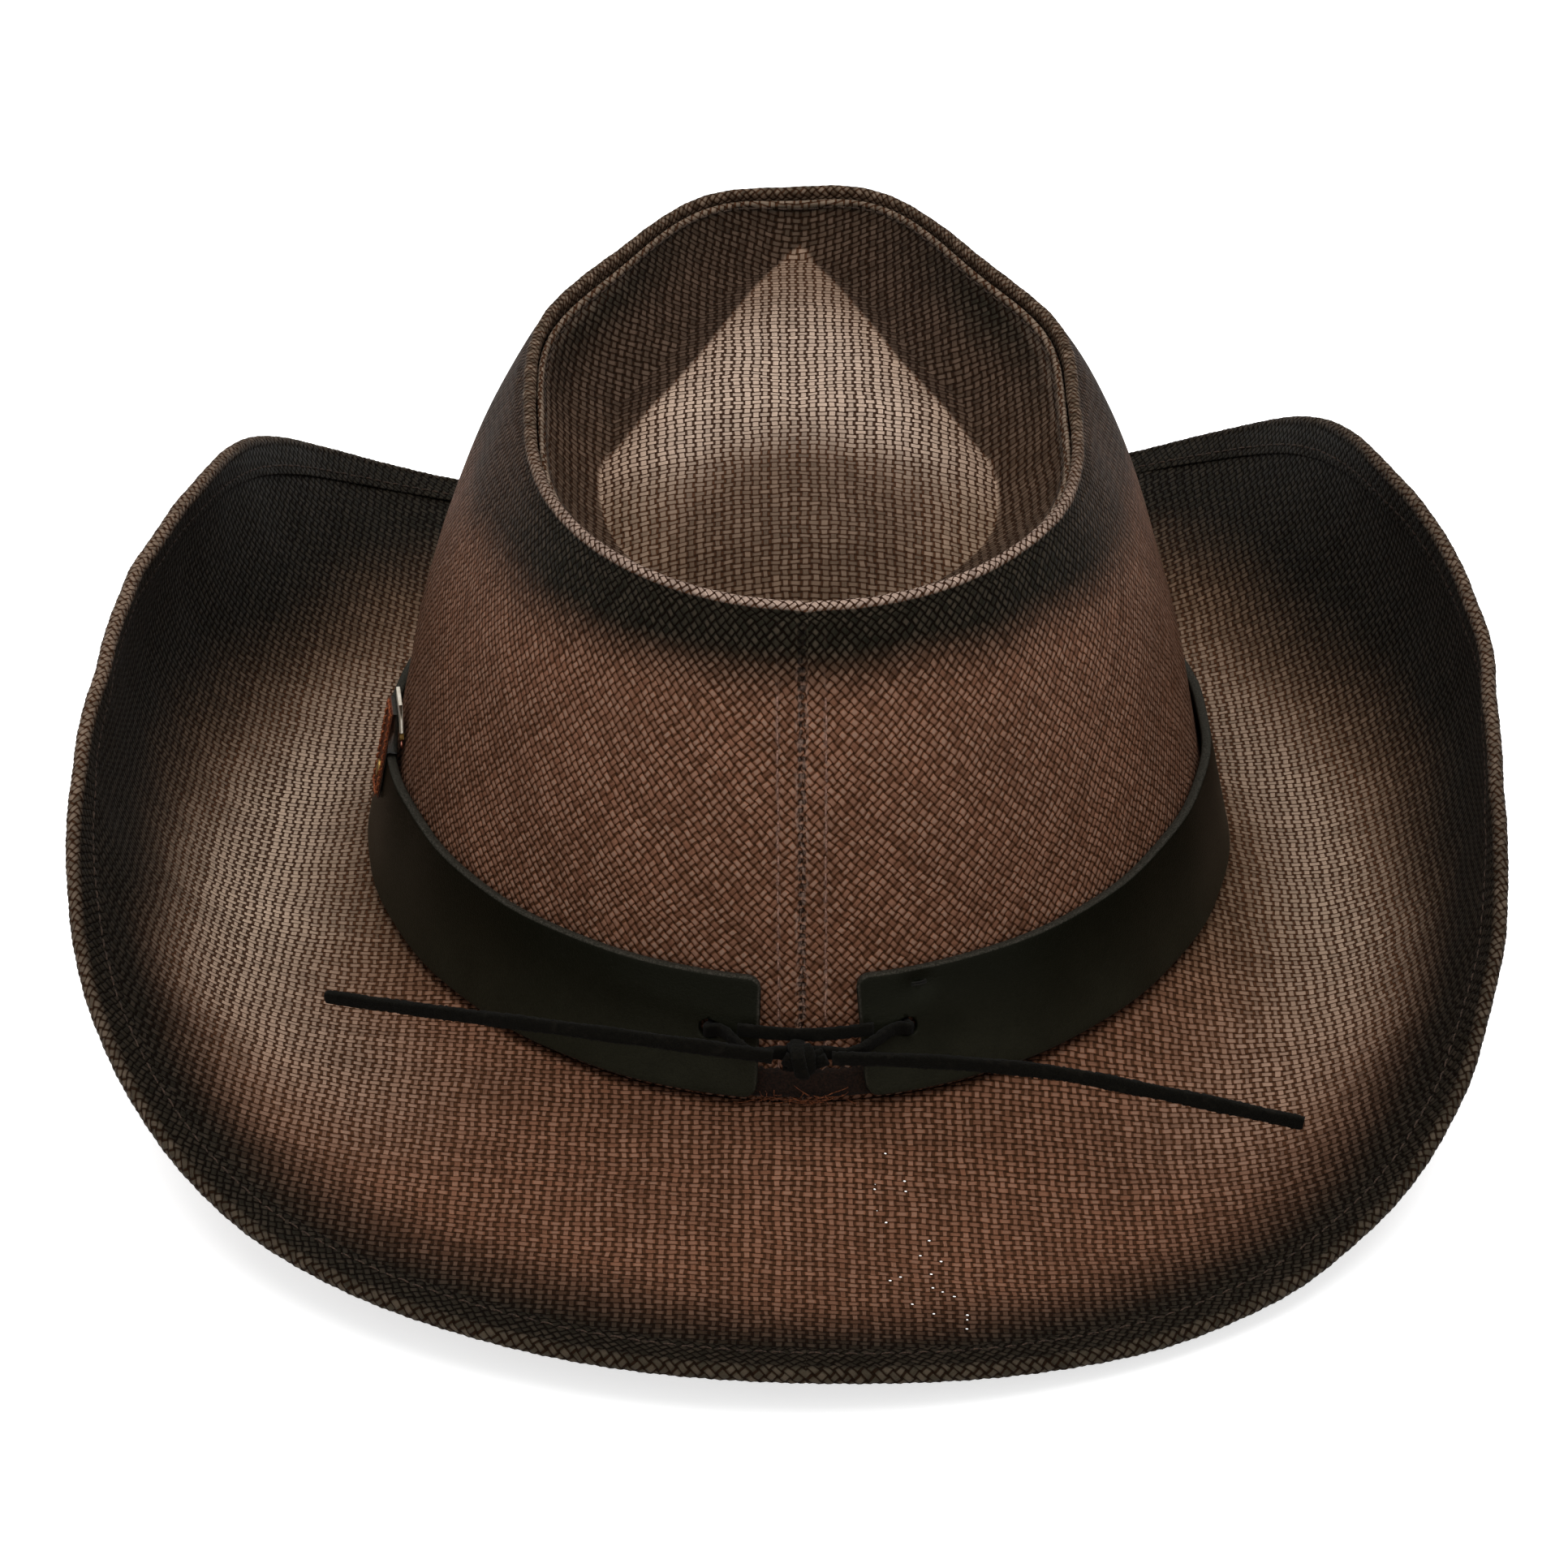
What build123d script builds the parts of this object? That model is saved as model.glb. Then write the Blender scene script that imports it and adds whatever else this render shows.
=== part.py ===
from build123d import *
import math
import os

# Shaped straw cowboy hat, teardrop crown, brim rolled up at both sides.
# Millimetres. +Z up, the front of the hat faces -Y, the wearer's left is +X.
# Origin: centre of the head opening, level with the crown-to-brim join at the back.
# Angles round the hat are in radians from the back (+Y) towards +X, unless a table
# says degrees. Heights on the crown are vertical, offsets are outwards from its face.

os.makedirs("parts", exist_ok=True)

# ---------------------------------------------------------------- main dimensions
HEAD_HALF_WIDTH = 86.0   # of the crown-to-brim join
HEAD_HALF_LENGTH = 103.5
JOIN_SIDE_RISE = 4.463
JOIN_FRONT_RISE = 1.674

STRAW_T = 1.3            # woven straw of the crown's side panel
BRIM_T = 1.6             # woven straw with stiffener
TIP_T = 1.5              # dished panel on top of the crown
WALL_INSET = 1.0         # crown outer face sits this far inside the join oval
WALL_LIFT = 0.3          # and starts this far above the join

# Harmonics of the angle: (cosine terms from order 0, sine terms from order 1)
BRIM_WIDTH = ([85.7749, -1.15607, 2.06768, 4.2134], [2.32464])
BRIM_INNER_SLOPE = ([-0.1531, -0.02996, 0.06918, 0.01778], [0.05208, 0.13753])
BRIM_OUTER_SLOPE = (
    [0.92145, -0.18011, -0.90718, 0.18613, 0.01017, 0.05028, 0.07007, -0.01687],
    [-0.00019, -0.06442, -0.03962, 0.02082, 0.01172])
SEAM_RADIUS = ([61.6579, 3.07382, 11.83128, -1.72852, 3.08162, -1.97536, 1.17608],
               [1.13982, -1.37053])

# Tip seam, where the side panel meets the dished tip
SEAM_CENTRE_Y = 2.684
SEAM_MEAN_Z = 102.409
SEAM_TILT = -13.116      # added at the back, taken off at the front
RIDGE_OUT = 2.5          # the rolled ridge stands outside the tip seam
RIDGE_UP = 1.0

# Tables over 0..180 degrees from the back, both sides alike: (degrees, value)
BULGE_POWER = 4.0        # how late the crown wall turns inwards
BULGE_SHARE = [(0, 0.30), (45, 0.33), (90, 0.36), (135, 0.60), (180, 0.50)]
CREASE_SHARE = [(0, 0.740), (47, 0.755), (69, 0.750), (96, 0.680), (130, 0.667),
                (154, 0.695), (168, 0.765), (180, 0.860)]    # of the seam radius
CREASE_DEPTH = [(0, 13.0), (47, 12.8), (90, 12.0), (130, 11.0), (154, 10.3), (180, 9.3)]
DISH_CENTRE_DEPTH = 6.5

BAND_H = 23.5            # hatband
BAND_T = 2.0
BAND_IN = 0.8            # offset of its inner face
BAND_OUT = BAND_IN + BAND_T
BAND_LOW = 1.2           # height of its lower edge
BAND_HIGH = BAND_LOW + BAND_H

CURVE_POINTS = 72        # points per closed curve


# ---------------------------------------------------------------- vectors and tables
def cross(a, b):
    return (a[1] * b[2] - a[2] * b[1], a[2] * b[0] - a[0] * b[2], a[0] * b[1] - a[1] * b[0])


def unit(a):
    length = math.sqrt(sum(c * c for c in a))
    return tuple(c / length for c in a)


def minus(a, b):
    return tuple(i - j for i, j in zip(a, b))


def shift(point, direction, distance=1.0):
    return tuple(i + j * distance for i, j in zip(point, direction))


def harmonic(terms, p):
    cosines, sines = terms
    return (sum(a * math.cos(k * p) for k, a in enumerate(cosines))
            + sum(a * math.sin((k + 1) * p) for k, a in enumerate(sines)))


def table(rows, p):
    """Monotone cubic through a table over 0..180 degrees, both sides alike."""
    angle = abs((math.degrees(p) + 180.0) % 360.0 - 180.0)
    xs, ys = zip(*rows)
    last = len(xs) - 1
    slopes = [(ys[i + 1] - ys[i]) / (xs[i + 1] - xs[i]) for i in range(last)]
    tangents = [0.0] * (last + 1)
    for i in range(1, last):
        before, after = slopes[i - 1], slopes[i]
        if before * after > 0:
            tangents[i] = 2 * before * after / (before + after)
    i = 0
    while i < last - 1 and angle > xs[i + 1]:
        i += 1
    step = xs[i + 1] - xs[i]
    t = (angle - xs[i]) / step
    return (ys[i] * (2 * t ** 3 - 3 * t ** 2 + 1)
            + tangents[i] * step * (t ** 3 - 2 * t ** 2 + t)
            + ys[i + 1] * (3 * t ** 2 - 2 * t ** 3)
            + tangents[i + 1] * step * (t ** 3 - t ** 2))


# ---------------------------------------------------------------- surfaces of the hat
def join_point(p, offset=0.0):
    """Point on the join, moved outwards, and its level outward direction."""
    nx, ny = math.sin(p) / HEAD_HALF_WIDTH, math.cos(p) / HEAD_HALF_LENGTH
    length = math.hypot(nx, ny)
    nx, ny = nx / length, ny / length
    return (HEAD_HALF_WIDTH * math.sin(p) + offset * nx,
            HEAD_HALF_LENGTH * math.cos(p) + offset * ny,
            JOIN_SIDE_RISE * math.sin(p) ** 2 + JOIN_FRONT_RISE * (1 - math.cos(p)) / 2,
            nx, ny)


def brim_point(p, distance, above=0.0):
    """Point at a distance along the brim from the join, above its top face."""
    x, y, z, nx, ny = join_point(p)
    width = harmonic(BRIM_WIDTH, p)
    start, end = harmonic(BRIM_INNER_SLOPE, p), harmonic(BRIM_OUTER_SLOPE, p)

    def slope(t):
        return start + (end - start) * (0.5 * t + 0.5 * t * t * (3 - 2 * t))

    if distance <= 0:
        out, up, angle = distance, 0.0, 0.0
    else:
        out = up = 0.0
        count = max(1, int(math.ceil(distance / 1.5)))   # steps of at most 1.5 mm
        step = distance / count
        for i in range(count):
            angle = slope((i + 0.5) * step / width)
            out += math.cos(angle) * step
            up += math.sin(angle) * step
        angle = slope(distance / width)
    out -= above * math.sin(angle)
    up += above * math.cos(angle)
    return (x + nx * out, y + ny * out, z + up)


def edge_point(p, outward, above):
    """Brim point measured from the finished edge."""
    return brim_point(p, harmonic(BRIM_WIDTH, p) + outward, above)


def seam_point(p, share=1.0):
    r = harmonic(SEAM_RADIUS, p) * share
    return (r * math.sin(p), SEAM_CENTRE_Y + r * math.cos(p),
            SEAM_MEAN_Z + SEAM_TILT * share * math.cos(p))


def ridge_point(p):
    return shift(seam_point(p), (RIDGE_OUT * math.sin(p), RIDGE_OUT * math.cos(p), RIDGE_UP))


def wall_face(p, t):
    """Crown outer face; t is the share of its height from the join to the ridge."""
    x, y, z, _, _ = join_point(p, -WALL_INSET)
    z += WALL_LIFT
    rx, ry, rz = ridge_point(p)
    bulge = table(BULGE_SHARE, p)
    inward = (1 - bulge) * t + bulge * max(t, 0.0) ** BULGE_POWER
    return (x + (rx - x) * inward, y + (ry - y) * inward, z + (rz - z) * t)


def wall_normal(p, t):
    e = 1e-3
    along = minus(wall_face(p + e, t), wall_face(p - e, t))
    up = minus(wall_face(p, t + e), wall_face(p, t - e))
    normal = unit(cross(up, along))
    x, y, _ = wall_face(p, t)
    return normal if normal[0] * x + normal[1] * y > 0 else tuple(-c for c in normal)


def wall_share_point(p, t, offset=0.0):
    return shift(wall_face(p, t), wall_normal(p, t), offset)


def wall_rise(p):
    return ridge_point(p)[2] - (join_point(p)[2] + WALL_LIFT)


def wall_point(p, height, offset=0.0):
    """Point at a height above the crown wall's foot, moved outwards."""
    return wall_share_point(p, height / wall_rise(p), offset)


def wall_plane(p, height, offset):
    """Plane on the crown wall: y up the wall, z outwards."""
    normal = wall_normal(p, height / wall_rise(p))
    e = 1e-3
    along = minus(wall_point(p - e, height), wall_point(p + e, height))
    lean = sum(a * b for a, b in zip(along, normal))
    return Plane(origin=wall_point(p, height, offset),
                 x_dir=unit(shift(along, normal, -lean)), z_dir=normal)


def dish_point(p, share, up=0.0):
    """Point of the dished tip at a share of the seam radius."""
    crease, depth = table(CREASE_SHARE, p), table(CREASE_DEPTH, p)
    if share >= crease:
        u = (1 - share) / (1 - crease)
        drop = depth * (1.35 * u - 0.35 * u * u)
    else:
        drop = depth - (depth - DISH_CENTRE_DEPTH) * (1 - (share / crease) ** 3)
    return shift(seam_point(p, share), (0, 0, up - drop))


# ---------------------------------------------------------------- builders
def closed(point):
    """Closed curve through point(p) all round the hat."""
    points = [point(2 * math.pi * i / CURVE_POINTS) for i in range(CURVE_POINTS)]
    parameters = [i / CURVE_POINTS for i in range(CURVE_POINTS + 1)]
    return Wire([Edge.make_spline(points, periodic=True, parameters=parameters)])


def skin(curves):
    return Shell.make_loft(curves, ruled=True).faces()


def ring_solid(groups):
    """Ring from groups of closed curves that go once round its section."""
    return Solid(Shell([face for group in groups for face in skin(group)]))


def layered_ring(first, second):
    """Ring between two faces, each a list of closed curves in the same order."""
    return ring_solid([first, [first[-1], second[-1]], second[::-1], [second[0], first[0]]])


def section_ring(point, section):
    """Ring with one closed curve point(p, *entry) per entry of the section."""
    curves = [closed(lambda p: point(p, *entry)) for entry in section]
    return ring_solid([[curve, curves[(i + 1) % len(curves)]]
                       for i, curve in enumerate(curves)])


def wall_ring(heights, inner, outer):
    """Ring on the crown wall through some heights, between two offsets."""
    faces = [[closed(lambda p: wall_point(p, h, offset)) for h in heights]
             for offset in (outer, inner)]
    return layered_ring(*faces)


def rectangle(a, b):
    return [(a[0], b[0]), (a[1], b[0]), (a[1], b[1]), (a[0], b[1])]


def open_strip(point, section, steps=96):
    """Four-sided strip whose corners follow point(u, *entry) for u in 0..1."""
    parameters = [i / steps for i in range(steps + 1)]
    edges = [Edge.make_spline([point(u, *entry) for u in parameters], parameters=parameters)
             for entry in section]
    faces = [Face.make_surface_from_curves(edges[i], edges[(i + 1) % 4]) for i in range(4)]
    for u in (0.0, 1.0):
        a, b, c, d = (Vector(*point(u, *entry)) for entry in section)
        faces.append(Face.make_surface_from_curves(Edge.make_line(a, b), Edge.make_line(d, c)))
    return Solid(Shell(faces))


def save(name, *solids):
    shape = solids[0] if len(solids) == 1 else Compound(children=list(solids))
    export_step(shape, f"parts/{name}.step")


# ---------------------------------------------------------------- crown
WALL_SHARES = (0.0, 0.08, 0.16, 0.25, 0.34, 0.43, 0.52, 0.61, 0.70, 0.78, 0.85, 0.91,
               0.95, 0.98)
TIP_GAP = 0.2            # between the tip panel and the seam line
# Tip stations: 0 at the seam, 1 at the crease, 2 near the middle
TIP_WALL = (0.0, 0.2, 0.4, 0.6, 0.8, 1.0)
TIP_FLOOR = (1.0, 1.06, 1.13, 1.22, 1.32, 1.45, 1.6, 1.8)
TIP_MIDDLE_R = 1.0       # flat disc that closes the middle
TIP_THREAD_INSET = (1.6, 2.1)
TIP_THREAD_UP = (0.15, 0.65)
BACK_ROW_X = 4.3         # the two rows stand this far either side of the middle
BACK_ROW_START = 7.2     # height
BACK_ROW_END_SHARE = 0.94
BACK_THREAD_X = (-0.25, 0.25)
BACK_THREAD_OFFSET = (0.25, 0.65)


def crown_side_panel():
    outer = [closed(lambda p: wall_share_point(p, t)) for t in WALL_SHARES]
    # the inner face stops two stations lower, clear of the ridge
    inner = [closed(lambda p: wall_share_point(p, t, -STRAW_T)) for t in WALL_SHARES[:-2]]
    ridge, seam = closed(ridge_point), closed(seam_point)
    seam_low = closed(lambda p: shift(seam_point(p), (0, 0, -STRAW_T)))
    ridge_low = closed(lambda p: shift(ridge_point(p), (0, 0, -STRAW_T)))
    return ring_solid([outer + [ridge, seam], [seam, seam_low],
                       [seam_low, ridge_low] + inner[::-1], [inner[0], outer[0]]])


def tip_curve(station, up):
    def point(p):
        crease = table(CREASE_SHARE, p)
        rim = 1 - TIP_GAP / harmonic(SEAM_RADIUS, p)
        if station <= 1:
            share = rim + (crease - rim) * station
        else:
            share = crease * (1 - (station - 1) * 0.97)
        return dish_point(p, share, up)
    return closed(point)


def tip_middle(up):
    z = SEAM_MEAN_Z - DISH_CENTRE_DEPTH + up
    return closed(lambda p: (TIP_MIDDLE_R * math.sin(p),
                             SEAM_CENTRE_Y + TIP_MIDDLE_R * math.cos(p), z))


def crown_tip_panel():
    """Dished tip, a separate panel inside the turned edge of the side panel."""
    faces = []
    for up in (0.0, -TIP_T):
        faces += skin([tip_curve(u, up) for u in TIP_WALL])
        faces += skin([tip_curve(u, up) for u in TIP_FLOOR] + [tip_middle(up)])
        faces.append(Face(tip_middle(up)))
    faces += skin([tip_curve(0.0, 0.0), tip_curve(0.0, -TIP_T)])
    return Solid(Shell(faces))


def tip_seam_stitches():
    """One continuous thread just inside the ridge."""
    def point(p, inset, up):
        return dish_point(p, 1 - inset / harmonic(SEAM_RADIUS, p), up)
    return section_ring(point, rectangle(TIP_THREAD_INSET, TIP_THREAD_UP))


def back_seam_row(row_x):
    """One row of topstitching, a single thread up the back of the crown."""
    top = BACK_ROW_END_SHARE * wall_rise(0)

    def point(u, dx, offset):
        height = BACK_ROW_START + (top - BACK_ROW_START) * u
        low, high = -0.3, 0.3
        for _ in range(40):              # bisect for the angle that gives this x
            middle = (low + high) / 2
            if wall_point(middle, height)[0] < row_x + dx:
                low = middle
            else:
                high = middle
        return wall_point(low, height, offset)
    return open_strip(point, rectangle(BACK_THREAD_X, BACK_THREAD_OFFSET), steps=24)


save("crown_side_panel", crown_side_panel())
save("crown_tip_panel", crown_tip_panel())
save("tip_seam_stitches", tip_seam_stitches())
save("back_seam_stitches", back_seam_row(BACK_ROW_X), back_seam_row(-BACK_ROW_X))

# ---------------------------------------------------------------- brim
BRIM_EDGE_INSET = 3.2    # straw stops this far inside the finished edge
BRIM_START = -1.9        # and starts this far inside the join
BRIM_STEPS = 13

BIND_W = 9.0             # folded edge binding
BIND_T = 0.8
BIND_GAP = 0.15          # between binding and straw
BRIM_MIDDLE = -BRIM_T / 2
UPPER_IN, LOWER_IN = BIND_GAP, -BRIM_T - BIND_GAP
UPPER_OUT, LOWER_OUT = UPPER_IN + BIND_T, LOWER_IN - BIND_T
# Binding section: (outwards from the finished edge, above the brim's top face)
BIND_SECTION = [
    (-BIND_W, UPPER_IN), (-6.0, UPPER_IN), (-3.6, UPPER_IN), (-1.6, UPPER_IN),
    (-1.05, BRIM_MIDDLE),
    (-1.6, LOWER_IN), (-3.6, LOWER_IN), (-6.0, LOWER_IN), (-BIND_W, LOWER_IN),
    (-BIND_W, LOWER_OUT), (-6.0, LOWER_OUT), (-3.6, LOWER_OUT), (-1.5, LOWER_OUT),
    (-0.4, -BRIM_T - 0.3), (0.0, BRIM_MIDDLE), (-0.4, 0.3),
    (-1.5, UPPER_OUT), (-3.6, UPPER_OUT), (-6.0, UPPER_OUT), (-BIND_W, UPPER_OUT)]

WIRE_R = 0.75
WIRE_INSET = 2.15        # wire centre inside the finished edge
WIRE_SIDES = 8
BIND_THREAD_OUT = (-7.0, -6.5)
BIND_THREAD_GAP, BIND_THREAD_TOP = 0.1, 0.5    # clear of the binding's faces


def brim():
    def curve(share, above):
        def point(p):
            end = harmonic(BRIM_WIDTH, p) - BRIM_EDGE_INSET
            return brim_point(p, BRIM_START + (end - BRIM_START) * share, above)
        return closed(point)
    top, bottom = ([curve(i / BRIM_STEPS, above) for i in range(BRIM_STEPS + 1)]
                   for above in (0.0, -BRIM_T))
    return layered_ring(top, bottom)


def brim_wire():
    turns = [2 * math.pi * k / WIRE_SIDES for k in range(WIRE_SIDES)]
    return section_ring(edge_point, [(-WIRE_INSET + WIRE_R * math.cos(a),
                                      BRIM_MIDDLE + WIRE_R * math.sin(a)) for a in turns])


def binding_stitches():
    """One thread on the binding's upper face and one on its lower face."""
    levels = ((UPPER_OUT + BIND_THREAD_GAP, UPPER_OUT + BIND_THREAD_TOP),
              (LOWER_OUT - BIND_THREAD_TOP, LOWER_OUT - BIND_THREAD_GAP))
    return [section_ring(edge_point, rectangle(BIND_THREAD_OUT, level)) for level in levels]


save("brim", brim())
save("brim_edge_binding", section_ring(edge_point, BIND_SECTION))
save("brim_wire", brim_wire())
save("brim_binding_stitches", *binding_stitches())

# ---------------------------------------------------------------- tape and sweatband
SWEAT_H = 31.0           # height of its upper edge
SWEAT_T = 1.2
SWEAT_OUT = -STRAW_T - 0.4
SWEAT_IN = SWEAT_OUT - SWEAT_T
SIZE_TAB_ANGLE = 0.10    # either side of the back
SIZE_TAB_HEIGHTS = (7.0, 19.0)


def size_tab():
    """Small tab on the inner face of the sweatband, at the back."""
    def point(u, height, offset):
        return wall_point(SIZE_TAB_ANGLE * (2 * u - 1), height, offset)
    section = rectangle(SIZE_TAB_HEIGHTS, (SWEAT_IN - 0.65, SWEAT_IN - 0.12))
    return open_strip(point, section, steps=8)


save("crown_brim_seam_tape", wall_ring((0.9, 6.5), inner=0.2, outer=0.65))
save("sweatband", wall_ring((-1.4, 10, 20, SWEAT_H), inner=SWEAT_IN, outer=SWEAT_OUT))
save("sweatband_stitches",
     wall_ring((0.4, 0.9), inner=SWEAT_IN - 0.55, outer=SWEAT_IN - 0.1))
save("size_tab", size_tab())

# ---------------------------------------------------------------- ornament placement
# On the wearer's left: a leather tab riveted on the band and a plate behind its upper
# part, with an end cap and a loop. All flat, set along a chord between two angles.
ORN_START, ORN_END = math.radians(79), math.radians(84)
ORN_MIDDLE = (ORN_START + ORN_END) / 2
chord_start, chord_end = (wall_point(p, 20, 3.0) for p in (ORN_START, ORN_END))
chord_x, chord_y = chord_end[0] - chord_start[0], chord_end[1] - chord_start[1]
ORN_L = math.hypot(chord_x, chord_y)
ORN_ALONG = (chord_x / ORN_L, chord_y / ORN_L, 0)    # towards the front
ORN_OUT = (-ORN_ALONG[1], ORN_ALONG[0], 0)
ORN_ORIGIN = (chord_start[0], chord_start[1], 0)

RIVET_R = 1.0
RIVET_HEAD_R, RIVET_HEAD_T = 1.7, 0.35
RIVET_OUTER, RIVET_INNER = 0.90, -2.45               # head centres along its axis
RIVET_HOLE_R = RIVET_R + 0.1
RIVET_PLANE = wall_plane(ORN_MIDDLE, 20.25, BAND_OUT + 0.15)
CUTTER_L = 12            # length of the hole cutters

# ---------------------------------------------------------------- hatband
# Angles of the two ends either side of the back, at the upper and lower corners
BAND_ENDS_HIGH = (0.0856, -0.1135)
BAND_ENDS_LOW = (0.0969, -0.1360)
LACE_HOLE_R = 2.0
LACE_HOLE_H = 13.8
LACE_HOLE_ANGLES = (0.197, -0.223)
TACK_ANGLE, TACK_H = -0.249, 21.6


def hatband():
    def point(u, height, offset, ends):
        start, end = ends[0], 2 * math.pi + ends[1]
        return wall_point(start + (end - start) * u, height, offset)
    band = open_strip(point, [(BAND_LOW, BAND_IN, BAND_ENDS_LOW),
                              (BAND_LOW, BAND_OUT, BAND_ENDS_LOW),
                              (BAND_HIGH, BAND_OUT, BAND_ENDS_HIGH),
                              (BAND_HIGH, BAND_IN, BAND_ENDS_HIGH)])
    for angle in LACE_HOLE_ANGLES:
        band = band - wall_plane(angle, LACE_HOLE_H, 0.0) * Cylinder(LACE_HOLE_R, CUTTER_L)
    band = band - RIVET_PLANE * Cylinder(RIVET_HOLE_R, CUTTER_L)
    return band.solids()[0]


def tack_stitch():
    """Stitch that pulls the band in near its upper edge."""
    plane = wall_plane(TACK_ANGLE, TACK_H, BAND_OUT)
    return (plane * (Pos(0, 0, 0.35) * Box(3.0, 0.5, 0.5))).solids()[0]


save("hatband", hatband())
save("hatband_tack_stitch", tack_stitch())


# ---------------------------------------------------------------- ornament
def ornament_section(height, offset):
    """Wall point at the ornament's middle angle as (outwards, z)."""
    x, y, z = wall_point(ORN_MIDDLE, height, offset)
    return ((x - ORN_ORIGIN[0]) * ORN_OUT[0] + (y - ORN_ORIGIN[1]) * ORN_OUT[1], z)


def ornament_place(along, out, z):
    return shift(shift(shift(ORN_ORIGIN, ORN_ALONG, along), ORN_OUT, out), (0, 0, z))


def ornament_prism(section, length):
    plane = Plane(origin=ORN_ORIGIN, x_dir=ORN_OUT, z_dir=ORN_ALONG)
    return extrude(plane * Polygon(*section, align=None), amount=length)


# Tab section (height, offset): the upper half is thickened inwards over the band
TAB_SECTION = [ornament_section(*corner) for corner in (
    (15.5, 3.0), (15.5, 3.6), (33.8, 3.6), (33.8, 2.4), (25.3, 1.0), (25.3, 3.0))]
PLATE_IN = ornament_section(29.9, 0.6)[0]
PLATE_T = 0.8
PLATE_Z = (35.4, 41.8)
CAP_Z = (34.15, 35.28)   # the cap lies under the rear end of the plate
CAP_L = 3.6
LOOP_ALONG, LOOP_OUT, LOOP_Z = 1.1, PLATE_IN + 0.5, 32.75
TAB_THREAD_INSET = 0.5
TAB_THREAD_W = 0.6


def ornament_patch():
    patch = ornament_prism(TAB_SECTION, ORN_L) - RIVET_PLANE * Cylinder(RIVET_HOLE_R, CUTTER_L)
    return patch.solids()[0]


def patch_stitches():
    """Rectangular thread round the tab's outer face."""
    (out0, z0), (out1, z1) = TAB_SECTION[1:3]
    height = math.hypot(out1 - out0, z1 - z0)
    normal_out, normal_up = (z1 - z0) / height, (out0 - out1) / height
    plane = Plane(origin=ornament_place(ORN_L / 2, (out0 + out1) / 2, (z0 + z1) / 2),
                  x_dir=ORN_ALONG,
                  z_dir=(ORN_OUT[0] * normal_out, ORN_OUT[1] * normal_out, normal_up))
    outer = 2 * TAB_THREAD_INSET
    inner = outer + 2 * TAB_THREAD_W
    frame = Box(ORN_L - outer, height - outer, 0.35) - Box(ORN_L - inner, height - inner, 1)
    return (plane * (Pos(0, 0, 0.25) * frame)).solids()[0]


def ornament_flat(z_range, length):
    section = rectangle((PLATE_IN, PLATE_IN + PLATE_T), z_range)
    # rectangle() varies its first range first, so z runs up the second side
    return ornament_prism(section, length).solids()[0]


def ornament_loop():
    plane = Plane(origin=ornament_place(LOOP_ALONG, LOOP_OUT, LOOP_Z),
                  x_dir=ORN_ALONG, z_dir=ORN_OUT)
    return (plane * Torus(0.75, 0.3)).solids()[0]


def ornament_rivet():
    shank = Cylinder(RIVET_R, RIVET_OUTER - RIVET_INNER)
    rivet = (Pos(0, 0, RIVET_OUTER) * Cylinder(RIVET_HEAD_R, RIVET_HEAD_T)
             + Pos(0, 0, (RIVET_OUTER + RIVET_INNER) / 2) * shank
             + Pos(0, 0, RIVET_INNER) * Cylinder(RIVET_HEAD_R, RIVET_HEAD_T))
    return (RIVET_PLANE * rivet).solids()[0]


save("ornament_patch", ornament_patch())
save("ornament_patch_stitches", patch_stitches())
save("ornament_plate", ornament_flat(PLATE_Z, ORN_L))
save("ornament_end_cap", ornament_flat(CAP_Z, CAP_L))
save("ornament_loop", ornament_loop())
save("ornament_rivet", ornament_rivet())

# ---------------------------------------------------------------- lace
LACE_W = 2.7
LACE_T = 1.6
KNOT = (0.0, 108.9, 13.2)
KNOT_SIZE = (6.0, 5.6, 6.4)
KNOT_ROUND = 1.6
STUD_R = 1.3             # end of a strand inside its lace hole
# Centre lines of the loose tails (x, y, z), from the knot outwards
LEFT_TAIL = [(5.4, 110.4, 14.2), (16.8, 110.0, 15.8), (41.9, 106.5, 17.8),
             (62.6, 101.5, 18.1), (87.7, 93.0, 17.3)]
RIGHT_TAIL = [(-5.4, 110.4, 13.8), (-17.2, 111.2, 13.9), (-32.0, 112.5, 13.6),
              (-47.0, 114.2, 12.6), (-61.5, 116.4, 10.6), (-76.0, 119.0, 8.6),
              (-90.0, 121.8, 6.6)]


def flat_cord(path):
    """Flat lace through path points, its width upright."""
    sections = []
    for i, centre in enumerate(path):
        direction = unit(minus(path[min(i + 1, len(path) - 1)], path[max(i - 1, 0)]))
        side = unit(cross(direction, (0, 0, 1)))
        up = cross(side, direction)
        corners = [shift(shift(centre, up, LACE_W / 2 * j), side, LACE_T / 2 * k)
                   for j, k in ((1, 1), (1, -1), (-1, -1), (-1, 1))]
        sections.append(Wire.make_polygon([Vector(*c) for c in corners], close=True))
    return Solid.make_loft(sections, ruled=True)


def lace_knot():
    block = (Pos(*KNOT) * Box(*KNOT_SIZE)).solids()[0]
    return fillet(block.edges(), KNOT_ROUND).solids()[0]


def strand(angle, side):
    """From the knot to one lace hole, then through it; side is +1 on the left."""
    start = (side * 3.4, KNOT[1] - 1.6, KNOT[2] + 0.2)
    end = wall_point(angle, LACE_HOLE_H, BAND_OUT + 1.6)
    cord = flat_cord([start, shift(start, (side * 4.0, -0.5, 0.3)), end])
    plane = wall_plane(angle, LACE_HOLE_H, BAND_IN + BAND_T / 2 + 0.9)
    stud = (plane * Cylinder(STUD_R, BAND_T + 1.6)).solids()[0]
    return (cord + stud).solids()[0]


save("lace_knot", lace_knot())
save("lace_strands", *(strand(p, side) for p, side in zip(LACE_HOLE_ANGLES, (1, -1))))
save("lace_left_tail", flat_cord(LEFT_TAIL))
save("lace_right_tail", flat_cord(RIGHT_TAIL))
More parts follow.
